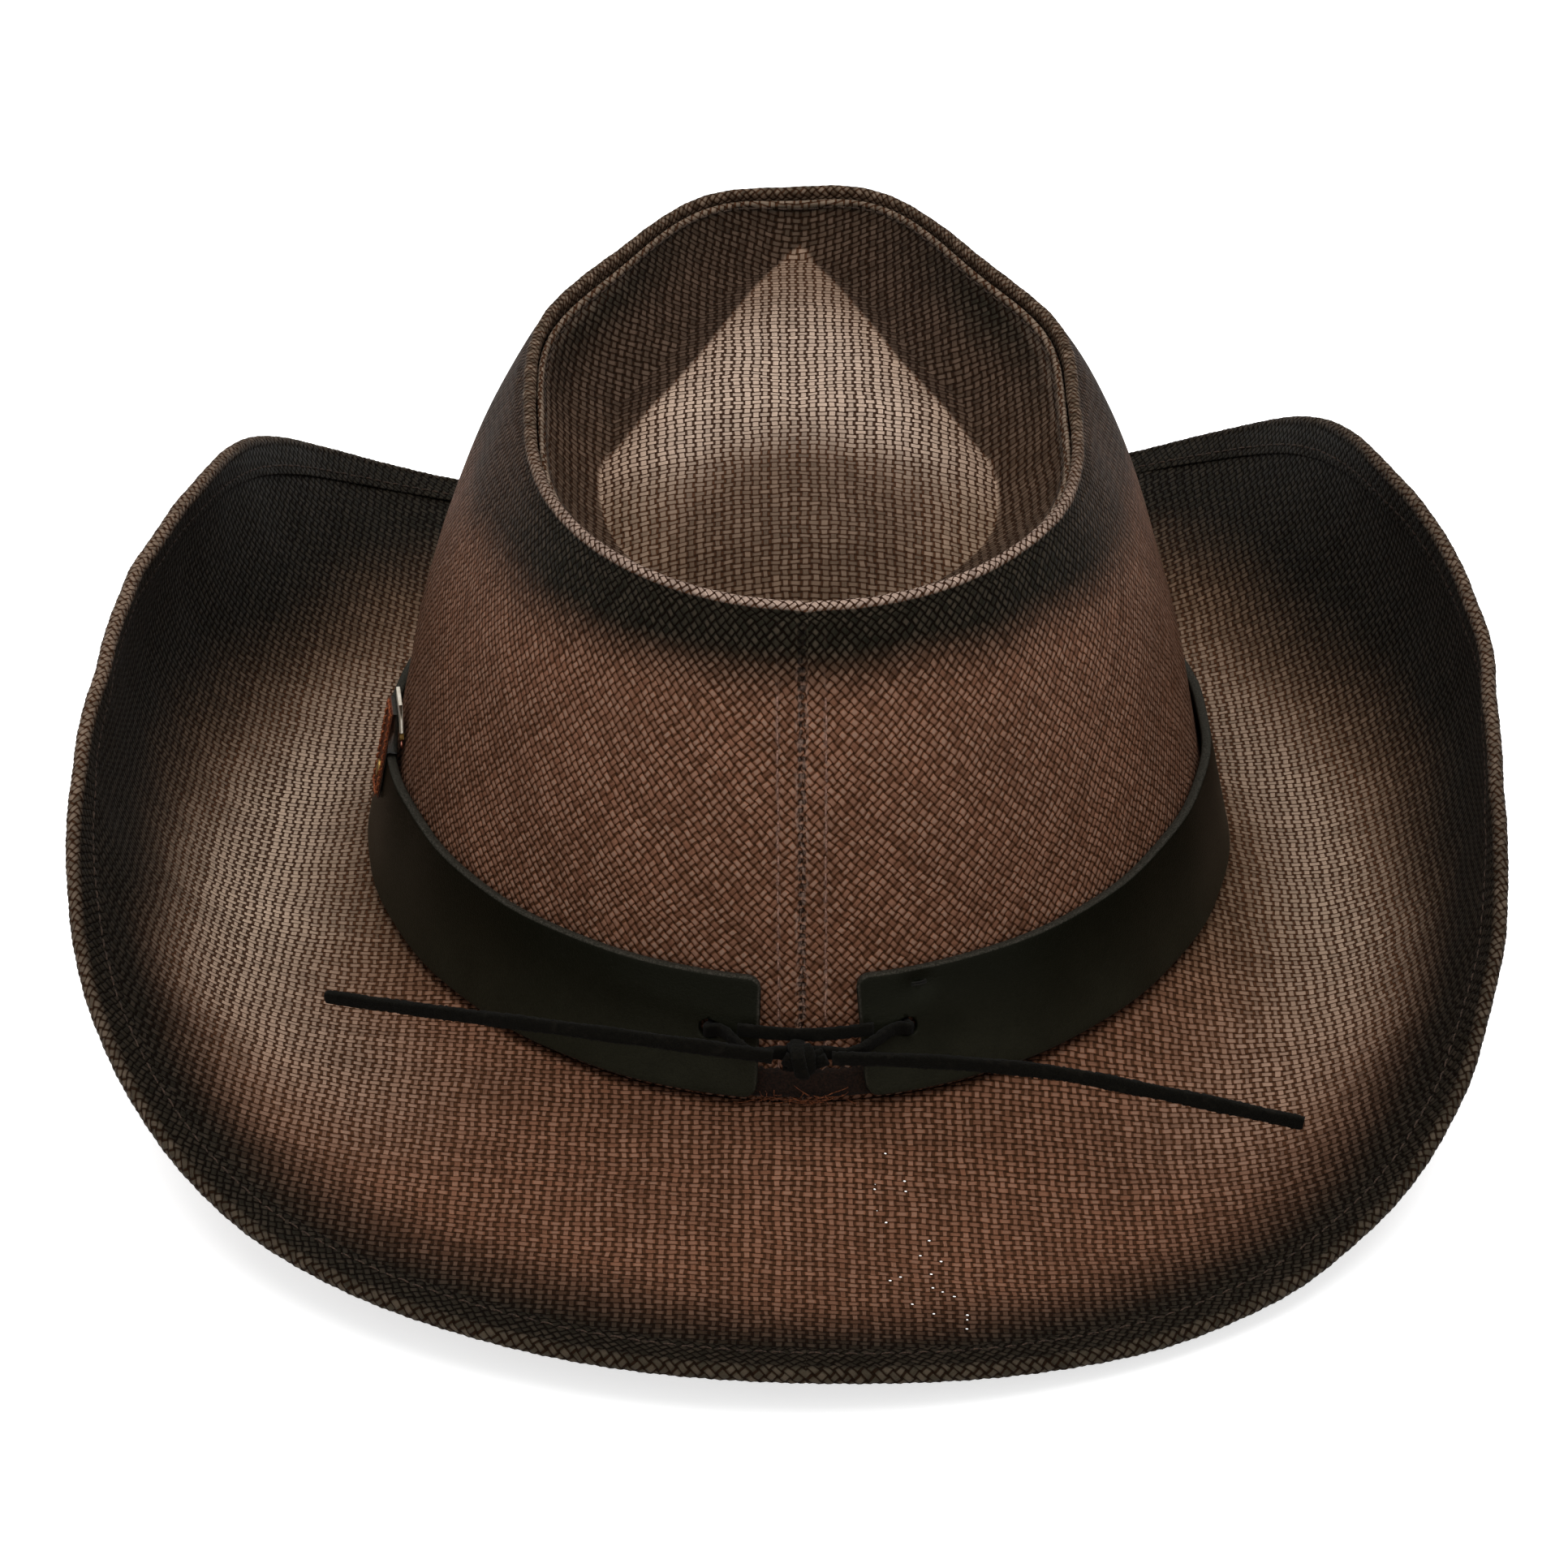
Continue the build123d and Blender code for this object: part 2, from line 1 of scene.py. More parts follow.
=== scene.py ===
# A woven straw hat: crown with a dished tip, corded brim, leather hatband, suede lace knotted
# at the back and a small ornament on the wearer's left.
# +Z is up, +Y is the back of the hat and +X the wearer's left. Angles are in radians, from 0
# at the back through the wearer's left. Lengths are mm until new_mesh turns them to metres.
import bmesh
import bpy
import math
import numpy as np
from mathutils import Matrix, Vector


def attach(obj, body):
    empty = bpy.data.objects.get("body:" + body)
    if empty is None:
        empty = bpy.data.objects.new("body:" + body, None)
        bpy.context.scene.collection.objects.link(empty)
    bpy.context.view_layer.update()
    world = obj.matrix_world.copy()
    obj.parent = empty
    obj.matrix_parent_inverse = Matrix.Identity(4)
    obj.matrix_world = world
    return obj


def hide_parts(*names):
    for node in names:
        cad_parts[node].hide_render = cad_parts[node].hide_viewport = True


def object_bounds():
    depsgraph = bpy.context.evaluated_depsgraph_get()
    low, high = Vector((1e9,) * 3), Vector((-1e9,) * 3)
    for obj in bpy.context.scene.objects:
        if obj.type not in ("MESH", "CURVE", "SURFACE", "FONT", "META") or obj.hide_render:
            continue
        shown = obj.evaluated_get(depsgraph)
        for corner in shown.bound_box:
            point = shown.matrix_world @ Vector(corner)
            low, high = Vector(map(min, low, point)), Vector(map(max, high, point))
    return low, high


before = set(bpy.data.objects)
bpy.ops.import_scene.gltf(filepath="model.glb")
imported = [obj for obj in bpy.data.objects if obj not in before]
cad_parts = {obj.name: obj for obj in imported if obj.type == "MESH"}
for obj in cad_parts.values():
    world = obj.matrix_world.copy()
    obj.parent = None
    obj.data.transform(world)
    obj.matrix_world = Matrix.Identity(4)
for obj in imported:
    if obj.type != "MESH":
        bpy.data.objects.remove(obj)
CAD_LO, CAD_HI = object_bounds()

RNG = np.random.default_rng(11)
MM = 0.001
TAU = 2 * math.pi
UP = np.array([0, 0, 1.0])
STEP = 1e-3  # small step for slopes found by difference

# ------------------------------------------------------------------ dimensions
HEAD_SIDE, HEAD_BACK = 86.0, 103.5    # half width and half length where crown meets brim
JOIN_SIDE, JOIN_FRONT = 4.463, 1.674  # rise of that join at the sides and the front
JOIN_LIFT = 0.3                       # foot of the crown wall above the join
STRAW_T, BRIM_T, WALL_IN = 1.3, 1.6, 1.0

# Cosine terms from order 0, then sine terms from order 1
BRIM_WIDTH = ([85.7749, -1.15607, 2.06768, 4.2134], [2.32464])
BRIM_ROOT_SLOPE = ([-0.1531, -0.02996, 0.06918, 0.01778], [0.05208, 0.13753])
BRIM_EDGE_SLOPE = (
    [0.92145, -0.18011, -0.90718, 0.18613, 0.01017, 0.05028, 0.07007, -0.01687],
    [-0.00019, -0.06442, -0.03962, 0.02082, 0.01172])
SEAM_RADIUS = ([61.6579, 3.07382, 11.83128, -1.72852, 3.08162, -1.97536, 1.17608],
               [1.13982, -1.37053])
SEAM_Y = 2.684                        # centre of the tip seam
SEAM_Z, SEAM_TILT = 102.409, -13.116
RIDGE_OUT, RIDGE_UP = 2.5, 1.0        # ridge of the crown, from the tip seam
BULGE_POWER = 4.0

# (degrees from the back, value)
BULGE = [(0, 0.30), (45, 0.33), (90, 0.36), (135, 0.60), (180, 0.50)]
CREASE = [(0, 0.740), (47, 0.755), (69, 0.750), (96, 0.680), (130, 0.667),
          (154, 0.695), (168, 0.765), (180, 0.860)]  # share of the seam radius
CREASE_DEPTH = [(0, 13.0), (47, 12.8), (90, 12.0), (130, 11.0), (154, 10.3), (180, 9.3)]
DISH_CENTRE_DEPTH = 6.5

EDGE_WAVE = 0.26         # unevenness of the brim
STRAW_WAVE = 0.28        # unevenness of the crown wall
BIND_W, BIND_GAP = 9.0, 0.15
BIND_UNDER = -BRIM_T - BIND_GAP
BIND_STITCH_IN = 6.9
SEAM_ROW = 4.3           # stitch rows on both sides of the back seam
SWEAT_H, SWEAT_T = 31.0, 1.2
SWEAT_OFF = -STRAW_T - 0.4
BAND_H, BAND_T, BAND_GAP, BAND_H0, BAND_HOLE_R = 23.5, 2.0, 0.8, 1.2, 2.0
BAND_LENGTH, BAND_RADIUS = 560.0, 98
BAND_CORNER, BAND_BEVEL = 2.6, 0.55
END_TOP, END_LOW = (0.0856, -0.1135), (0.0969, -0.1360)  # band ends: left, right
HOLE_H, HOLE_ANGLES = 13.8, (0.197, -0.223)
TACK_ANGLE, TACK_H = -0.249, 21.6
ORN_START, ORN_END = math.radians(79), math.radians(84)

KNOT = np.array((0.0, 108.9, 13.2))
# (x, y, z) along each hanging end of the lace
LEFT_PATH = [(5.4, 110.4, 14.2), (16.8, 110.0, 15.8), (41.9, 106.5, 17.8),
             (62.6, 101.5, 18.1), (87.7, 93.0, 17.3)]
RIGHT_PATH = [(-5.4, 110.4, 13.8), (-17.2, 111.2, 13.9), (-32.0, 112.5, 13.6),
              (-47.0, 114.2, 12.6), (-61.5, 116.4, 10.6), (-76.0, 119.0, 8.6),
              (-90.0, 121.8, 6.6)]


# ------------------------------------------------------------------ small maths
def spread(*values):
    """The values as float arrays of one shape."""
    return np.broadcast_arrays(*[np.asarray(value, float) for value in values])


def unit(vectors):
    return vectors / np.linalg.norm(vectors, axis=-1, keepdims=True)


def smooth(start, end, x):
    share = np.clip((np.asarray(x, float) - start) / (end - start), 0, 1)
    return share * share * (3 - 2 * share)


def wrap(angle):
    return (angle + math.pi) % TAU - math.pi


def signed_degrees(angle):
    """Degrees from the back, positive on the wearer's left."""
    return (np.degrees(angle) + 180.0) % 360.0 - 180.0


def off_back(angle):
    return np.abs(signed_degrees(angle))


def harmonics(terms, angle):
    cosines, sines = terms
    return (sum(size * np.cos(k * angle) for k, size in enumerate(cosines))
            + sum(size * np.sin((k + 1) * angle) for k, size in enumerate(sines)))


def table(rows, angle):
    """Monotone cubic through (degrees from the back, value), the same on both sides."""
    x = off_back(angle)
    xs, ys = np.array(rows, float).T
    slopes = np.diff(ys) / np.diff(xs)
    tangents = np.zeros(len(xs))
    for i in range(1, len(xs) - 1):
        before, after = slopes[i - 1], slopes[i]
        if before * after > 0:
            tangents[i] = 2 * before * after / (before + after)
    i = np.clip(np.searchsorted(xs, x, side="left") - 1, 0, len(xs) - 2)
    gap = xs[i + 1] - xs[i]
    share = (x - xs[i]) / gap
    square, cube = share ** 2, share ** 3
    return (ys[i] * (2 * cube - 3 * square + 1)
            + tangents[i] * gap * (cube - 2 * square + share)
            + ys[i + 1] * (3 * square - 2 * cube) + tangents[i + 1] * gap * (cube - square))


def close(rows):
    """The rows with the first one repeated at the end."""
    return np.concatenate([rows, rows[:1]])


def path_lengths(points):
    """Distance run at each point of a path."""
    steps = np.linalg.norm(np.diff(np.asarray(points, float), axis=0), axis=1)
    return np.concatenate([[0], np.cumsum(steps)])


def resample(points, lengths, places):
    return np.stack([np.interp(places, lengths, column) for column in points.T], 1)


# ------------------------------------------------------------------ surfaces of the hat
def join(angle, off=0.0):
    """Where crown and brim meet: x, y, z and the level outward direction."""
    nx, ny = np.sin(angle) / HEAD_SIDE, np.cos(angle) / HEAD_BACK
    size = np.hypot(nx, ny)
    nx, ny = nx / size, ny / size
    z = JOIN_SIDE * np.sin(angle) ** 2 + JOIN_FRONT * (1 - np.cos(angle)) / 2
    return HEAD_SIDE * np.sin(angle) + off * nx, HEAD_BACK * np.cos(angle) + off * ny, z, nx, ny


GAUSS = np.polynomial.legendre.leggauss(12)


def brim_point(angle, reach, lift=0.0):
    """Brim at a distance out from the join, lifted off its surface."""
    angle, reach, lift = spread(angle, reach, lift)
    x, y, z, nx, ny = join(angle)
    width = harmonics(BRIM_WIDTH, angle)
    root, edge = harmonics(BRIM_ROOT_SLOPE, angle), harmonics(BRIM_EDGE_SLOPE, angle)
    run = np.maximum(reach, 0.0)

    def slope(share):
        place = share * run / width
        return root + (edge - root) * (0.5 * place + 0.5 * place * place * (3 - 2 * place))

    out, rise = np.zeros(angle.shape), np.zeros(angle.shape)
    for node, weight in zip(*GAUSS):
        tilt = slope((node + 1) / 2)
        out += weight / 2 * run * np.cos(tilt)
        rise += weight / 2 * run * np.sin(tilt)
    # the lift leaves the crown straight up, and takes up the slope over the first few mm
    tilt = slope(1.0) * smooth(-1.0, 3.0, reach)
    out = out + np.minimum(reach, 0.0) - lift * np.sin(tilt)
    rise = rise + lift * np.cos(tilt)
    return np.stack([x + nx * out, y + ny * out, z + rise], -1)


def top_lean(angle):
    """Lean of the top to the wearer's right, most of all at the left of the front."""
    degrees = np.mod(np.degrees(angle), 360.0)
    return (1.2 + 1.5 * np.exp(-((degrees - 116.0) / 30.0) ** 2)
            - 0.7 * np.exp(-((degrees - 205.0) / 14.0) ** 2))


def seam_point(angle, reach=1.0):
    """Seam of the tip, or a share of the way out to it."""
    radius = harmonics(SEAM_RADIUS, angle) * reach
    near = smooth(0.80, 1.0, reach)
    flat = 1.7 * np.exp(-((np.mod(np.degrees(angle), 360.0) - 178.0) / 9.0) ** 2)
    return np.stack([radius * np.sin(angle) - top_lean(angle) * near,
                     SEAM_Y + radius * np.cos(angle),
                     SEAM_Z + SEAM_TILT * reach * np.cos(angle) - flat * near], -1)


def ridge_point(angle):
    return seam_point(angle) + np.stack(
        [RIDGE_OUT * np.sin(angle), RIDGE_OUT * np.cos(angle), RIDGE_UP + 0 * angle], -1)


def wall_base(angle, climb):
    """Crown wall at a share of its height."""
    angle, climb = spread(angle, climb)
    x, y, z, _, _ = join(angle, -WALL_IN)
    foot = np.stack([x, y, z + JOIN_LIFT], -1)
    late = table(BULGE, angle)
    out = (1 - late) * climb + late * np.maximum(climb, 0.0) ** BULGE_POWER
    points = foot + (ridge_point(angle) - foot) * np.stack([out, out, climb], -1)
    points[..., 0] -= top_lean(angle) * (smooth(0.42, 1.0, climb) - out)
    return points


def wall_normal(angle, climb):
    normal = unit(np.cross(wall_base(angle, climb + STEP) - wall_base(angle, climb - STEP),
                           wall_base(angle + STEP, climb) - wall_base(angle - STEP, climb)))
    points = wall_base(angle, climb)
    sign = np.sign(normal[..., 0] * points[..., 0] + normal[..., 1] * points[..., 1])
    return normal * sign[..., None]


def wall_point(angle, climb, off=0.0):
    angle, climb, off = spread(angle, climb, off)
    return wall_base(angle, climb) + wall_normal(angle, climb) * off[..., None]


def wall_height(angle):
    return ridge_point(angle)[..., 2] - (join(angle)[2] + JOIN_LIFT)


def wall_at(angle, height, off=0.0):
    """Crown wall at a height in mm, moved off along its normal."""
    angle, height, off = spread(angle, height, off)
    return wall_point(angle, height / wall_height(angle), off)


def normal_at(angle, height):
    return wall_normal(angle, height / wall_height(angle))


def dish_point(angle, reach, lift=0.0):
    """Dished tip at a share of the way out to its seam."""
    angle, reach, lift = spread(angle, reach, lift)
    crease, depth = table(CREASE, angle), table(CREASE_DEPTH, angle)
    points = seam_point(angle, reach)
    inset, inner = (1 - reach) / (1 - crease), reach / crease
    drop = np.where(reach >= crease, depth * (1.35 * inset - 0.35 * inset * inset),
                    depth - (depth - DISH_CENTRE_DEPTH) * (1 - inner ** 3))
    points[..., 2] += lift - drop
    return points


WAVE_PHASES = RNG.uniform(0, TAU, (8,))
WAVE_AXES = unit(RNG.normal(size=(8, 3)))
WAVE_LENGTHS = np.array([52, 44, 37, 31, 27, 23, 19, 16], float)


def undulate(points, size):
    """Slow unevenness of formed straw, as an offset in mm."""
    waves = sum(np.sin((points @ axis) * TAU / length + phase) * (length / 52.0)
                for axis, length, phase in zip(WAVE_AXES, WAVE_LENGTHS, WAVE_PHASES))
    return waves * size / 2.0


# ------------------------------------------------------------------ mesh helpers
ATTRIBUTE_KINDS = {"tone": "FLOAT_COLOR", "seam": "FLOAT_VECTOR"}


def new_mesh(name, points, loops, sizes, uv=None):
    mesh = bpy.data.meshes.new(name)
    mesh.vertices.add(len(points))
    mesh.vertices.foreach_set("co", (np.asarray(points, np.float32) * MM).ravel())
    loops, sizes = np.asarray(loops, np.int32), np.asarray(sizes, np.int32)
    mesh.loops.add(len(loops))
    mesh.loops.foreach_set("vertex_index", loops)
    mesh.polygons.add(len(sizes))
    starts = np.concatenate([[0], np.cumsum(sizes)[:-1]]).astype(np.int32)
    mesh.polygons.foreach_set("loop_start", starts)
    mesh.polygons.foreach_set("loop_total", sizes)
    mesh.polygons.foreach_set("use_smooth", np.full(len(sizes), True))
    if uv is not None:
        layer = mesh.uv_layers.new(name="weave")
        layer.data.foreach_set("uv", np.asarray(uv, np.float32).ravel())
    mesh.update(calc_edges=True)
    mesh.validate()
    ob = bpy.data.objects.new(name, mesh)
    bpy.context.scene.collection.objects.link(ob)
    return ob


def put(ob, name, data):
    """Point attribute of the object's mesh."""
    kind = ATTRIBUTE_KINDS.get(name, "FLOAT")
    attribute = ob.data.attributes.new(name, kind, "POINT")
    if kind == "FLOAT_COLOR":
        rgba = np.ones((len(ob.data.vertices), 4), np.float32)
        rgba[:, :3] = np.asarray(data).reshape(-1, 3)
        attribute.data.foreach_set("color", rgba.ravel())
    else:
        field = "vector" if kind == "FLOAT_VECTOR" else "value"
        attribute.data.foreach_set(field, np.asarray(data, np.float32).ravel())


def grid_cells(rows, columns):
    i, j = np.meshgrid(np.arange(rows), np.arange(columns), indexing="ij")
    return i.ravel(), j.ravel()


def inside_out(points, faces):
    """Whether the faces enclose a negative volume."""
    one, two, three, four = (points[faces[:, k]] for k in range(4))
    return np.sum(one * (np.cross(two, three) + np.cross(three, four))) < 0


def ring_grid(name, points, uv=None, closed_round=True, closed_across=True, **attributes):
    """Skin over a grid (round, across). An open strip gets end caps.

    The UV of a closed ring has one row more than its points.
    """
    rows, columns = points.shape[:2]
    i, j = grid_cells(rows - (not closed_round), columns - (not closed_across))
    next_i, next_j = i + 1, (j + 1) % columns
    corners = [(i, j), (next_i, j), (next_i, next_j), (i, next_j)]
    faces = np.stack([(a % rows) * columns + b for a, b in corners], 1)
    flat = points.reshape(-1, 3)
    flip = inside_out(flat, faces)
    if uv is not None:
        face_uv = np.stack([uv[corner] for corner in corners], 1)
        if flip:
            face_uv = face_uv[:, ::-1]
        face_uv = face_uv.reshape(-1, 2)
    else:
        face_uv = None
    if flip:
        faces = faces[:, ::-1]
    loops, sizes = faces.ravel(), np.full(len(faces), 4)
    if not closed_round:
        order = np.arange(columns)
        first, last = (order, order[::-1]) if flip else (order[::-1], order)
        loops = np.concatenate([loops, first, (rows - 1) * columns + last])
        sizes = np.concatenate([sizes, [columns, columns]])
        if uv is not None:
            face_uv = np.concatenate([face_uv, uv[0][first], uv[-1][last]])
    ob = new_mesh(name, flat, loops, sizes, face_uv)
    for key, data in attributes.items():
        put(ob, key, data)
    return ob


def flat_uv(along, across):
    return np.stack(np.broadcast_arrays(along, across), -1)


def bias_uv(along, across):
    """Cloth laid at 45 degrees."""
    return flat_uv((along + across) / math.sqrt(2), (across - along) / math.sqrt(2))


def sweep(path, width, thick, side, sides, power=2.0):
    """Cord of superellipse section along a path; side is the direction of its width."""
    path = np.asarray(path, float)
    count = len(path)
    tangent = unit(np.gradient(path, axis=0))
    side = np.broadcast_to(np.asarray(side, float), (count, 3))
    side = unit(side - tangent * np.sum(side * tangent, -1, keepdims=True))
    normal = unit(np.cross(tangent, side))
    turn = np.linspace(0, TAU, sides, endpoint=False)

    def across(wave, size):
        shape = np.sign(wave) * np.abs(wave) ** (2 / power) / 2
        return (np.broadcast_to(np.asarray(size, float), (count,))[:, None] * shape)[..., None]

    return (path[:, None] + side[:, None] * across(np.cos(turn), width)
            + normal[:, None] * across(np.sin(turn), thick))


def tube_mesh(name, tubes):
    """Swept cords joined in one mesh, with closed ends."""
    points, loops, sizes, base = [], [], [], 0
    for tube in tubes:
        count, sides = tube.shape[:2]
        i, j = grid_cells(count - 1, sides)
        next_j = (j + 1) % sides
        faces = np.stack([i * sides + j, i * sides + next_j,
                          (i + 1) * sides + next_j, (i + 1) * sides + j], 1)
        flat = tube.reshape(-1, 3)
        first = np.arange(sides)
        last = (count - 1) * sides + first
        if inside_out(flat - flat[0], faces):
            faces = faces[:, ::-1]
            last = last[::-1]
        else:
            first = first[::-1]
        loops += [faces.ravel() + base, first + base, last + base]
        sizes += [np.full(len(faces), 4), [sides, sides]]
        points.append(flat)
        base += len(flat)
    return new_mesh(name, np.concatenate(points), np.concatenate(loops), np.concatenate(sizes))


def stitch_row(name, points, normals, length, width, rise, gap, sink=0.2, tilt=0.0):
    """Separate stitches along a dense curve, each arching out of the surface."""
    jitter = 0.12
    lengths = path_lengths(points)
    count = max(1, int(lengths[-1] // (length + gap)))
    pitch = lengths[-1] / count
    share = np.linspace(0, 1, 7)
    stitches = []
    for k in range(count):
        start = k * pitch + gap / 2 + RNG.normal() * jitter * 0.3
        places = np.clip(start + share * (pitch - gap), 0, lengths[-1])
        path = resample(points, lengths, places)
        normal = unit(resample(normals, lengths, places))
        side = np.cross(unit(np.gradient(path, axis=0)), normal)
        path = path + side * ((share - 0.5) * tilt + RNG.normal() * jitter * 0.4)[:, None]
        arch = np.sin(np.pi * share) ** 0.6
        path = path + normal * (arch * (rise + sink) - sink + RNG.normal() * 0.03)[:, None]
        taper = 0.55 + 0.45 * np.sin(np.pi * share) ** 0.5
        wide = width * taper * (1 + RNG.normal() * 0.06)
        stitches.append(sweep(path, wide, wide * 0.8, side, sides=6))
    return tube_mesh(name, stitches)


def finish(ob, material, body, slot, *nodes):
    ob.data.materials.clear()
    ob.data.materials.append(material)
    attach(ob, body)
    if nodes:
        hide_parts(*nodes)


# ------------------------------------------------------------------ colours
def srgb(red, green, blue):
    share = np.array([red, green, blue], float) / 255.0
    return np.where(share <= 0.04045, share / 12.92, ((share + 0.055) / 1.055) ** 2.4)


def mix(start, end, share):
    share = np.asarray(share)[..., None]
    return start * (1 - share) + end * share


BROWN = srgb(112, 74, 56)
BRIM_BROWN = srgb(102, 66, 48)
# pale beige of the painted sheen on straw that faces up
SHEEN_BEIGE = srgb(166, 144, 125)
# pale painted sheen of the dish floor, which faces up
DISH_FLOOR_SHEEN = srgb(176, 154, 137)
BLACK = srgb(16, 14, 8)
# pale painted highlight on the crown's roll at the back
ROLL_HIGHLIGHT = srgb(172, 148, 134)
LUMA = (0.25, 0.65, 0.10)
BROWN_LUMA, SHEEN_BEIGE_LUMA = float(BROWN @ np.array(LUMA)), float(SHEEN_BEIGE @ np.array(LUMA))


# ------------------------------------------------------------------ shader helpers
class Wire:
    """A shader value. Arithmetic on it adds math nodes."""

    def __init__(self, graph, socket):
        self.graph, self.socket = graph, socket

    def __abs__(self):
        return self.graph.math("ABSOLUTE", self)

    def mul_add(self, factor, addend):
        return self.graph.math("MULTIPLY_ADD", self, factor, addend)


for word, operation in (("add", "ADD"), ("sub", "SUBTRACT"), ("mul", "MULTIPLY"),
                        ("truediv", "DIVIDE")):
    setattr(Wire, f"__{word}__",
            lambda self, other, kind=operation: self.graph.math(kind, self, other))
    setattr(Wire, f"__r{word}__",
            lambda self, other, kind=operation: self.graph.math(kind, other, self))

COLOUR, VECTOR, FACTOR = 0, 1, 2  # outputs of an attribute node


class Graph:
    """Node tree of one material, ending in a Principled shader."""

    def __init__(self, name):
        self.material = bpy.data.materials.new(name)
        self.material.use_nodes = True
        self.tree = self.material.node_tree
        self.tree.nodes.clear()
        output = self.tree.nodes.new("ShaderNodeOutputMaterial")
        self.shader = self.tree.nodes.new("ShaderNodeBsdfPrincipled")
        self.tree.links.new(self.shader.outputs[0], output.inputs[0])

    def set(self, socket, value):
        if isinstance(value, Wire):
            self.tree.links.new(value.socket, socket)
        else:
            socket.default_value = value

    def make(self, kind, inputs, output=0, **settings):
        node = self.tree.nodes.new("ShaderNode" + kind)
        for key, value in settings.items():
            setattr(node, key, value)
        for key, value in inputs.items():
            self.set(node.inputs[key], value)
        return Wire(self, node.outputs[output])

    def math(self, kind, *values, clamp=False):
        return self.make("Math", dict(enumerate(values)), operation=kind, use_clamp=clamp)

    def vector(self, x, y, z=0.0):
        return self.make("CombineXYZ", {0: x, 1: y, 2: z})

    def separate(self, vector):
        """First two components."""
        node = self.tree.nodes.new("ShaderNodeSeparateXYZ")
        self.set(node.inputs[0], vector)
        return Wire(self, node.outputs[0]), Wire(self, node.outputs[1])

    def smooth(self, start, end, value):
        return self.make("MapRange", {"Value": value, "From Min": start, "From Max": end},
                         interpolation_type="SMOOTHSTEP")

    def noise(self, vector, scale, detail=2.0, rough=0.5, dims="3D", output="Fac"):
        return self.make(
            "TexNoise", {"Vector": vector, "Scale": scale, "Detail": detail, "Roughness": rough},
            output, noise_dimensions=dims)

    def flat_noise(self, x, y, scale=1.0):
        return self.noise(self.vector(x, y), scale, dims="2D")

    def white(self, vector, dims="2D"):
        return self.make("TexWhiteNoise", {"Vector": vector}, "Value", noise_dimensions=dims)

    def mix(self, share, start, end):
        start, end = (value if isinstance(value, Wire) else (*value, 1.0)
                      for value in (start, end))
        return self.make("Mix", {0: share, 6: start, 7: end}, 2, data_type="RGBA")

    def scale(self, vector, factor):
        if not isinstance(vector, Wire):
            vector = tuple(vector)
        return self.make("VectorMath", {0: vector, "Scale": factor}, operation="SCALE")

    def attribute(self, name, output=FACTOR):
        return self.make("Attribute", {}, output, attribute_name=name)

    def place(self):
        """Object position in mm."""
        return self.scale(self.make("TexCoord", {}, "Object"), 1000.0)

    def cloth(self):
        """Position on the flat cloth in mm, along and across."""
        return self.separate(self.make("UVMap", {}, uv_map="weave"))

    def bump(self, height, depth, strength=1.0):
        return self.make("Bump", {"Height": height, "Distance": depth * MM,
                                  "Strength": strength})

    def done(self, colour, rough, normal=None, **sockets):
        """Feeds the shader. Other sockets are given with _ for each space."""
        self.set(self.shader.inputs["Base Color"], colour)
        self.set(self.shader.inputs["Roughness"], rough)
        if normal is not None:
            self.set(self.shader.inputs["Normal"], normal)
        for key, value in sockets.items():
            self.set(self.shader.inputs[key.replace("_", " ")], value)
        return self.material


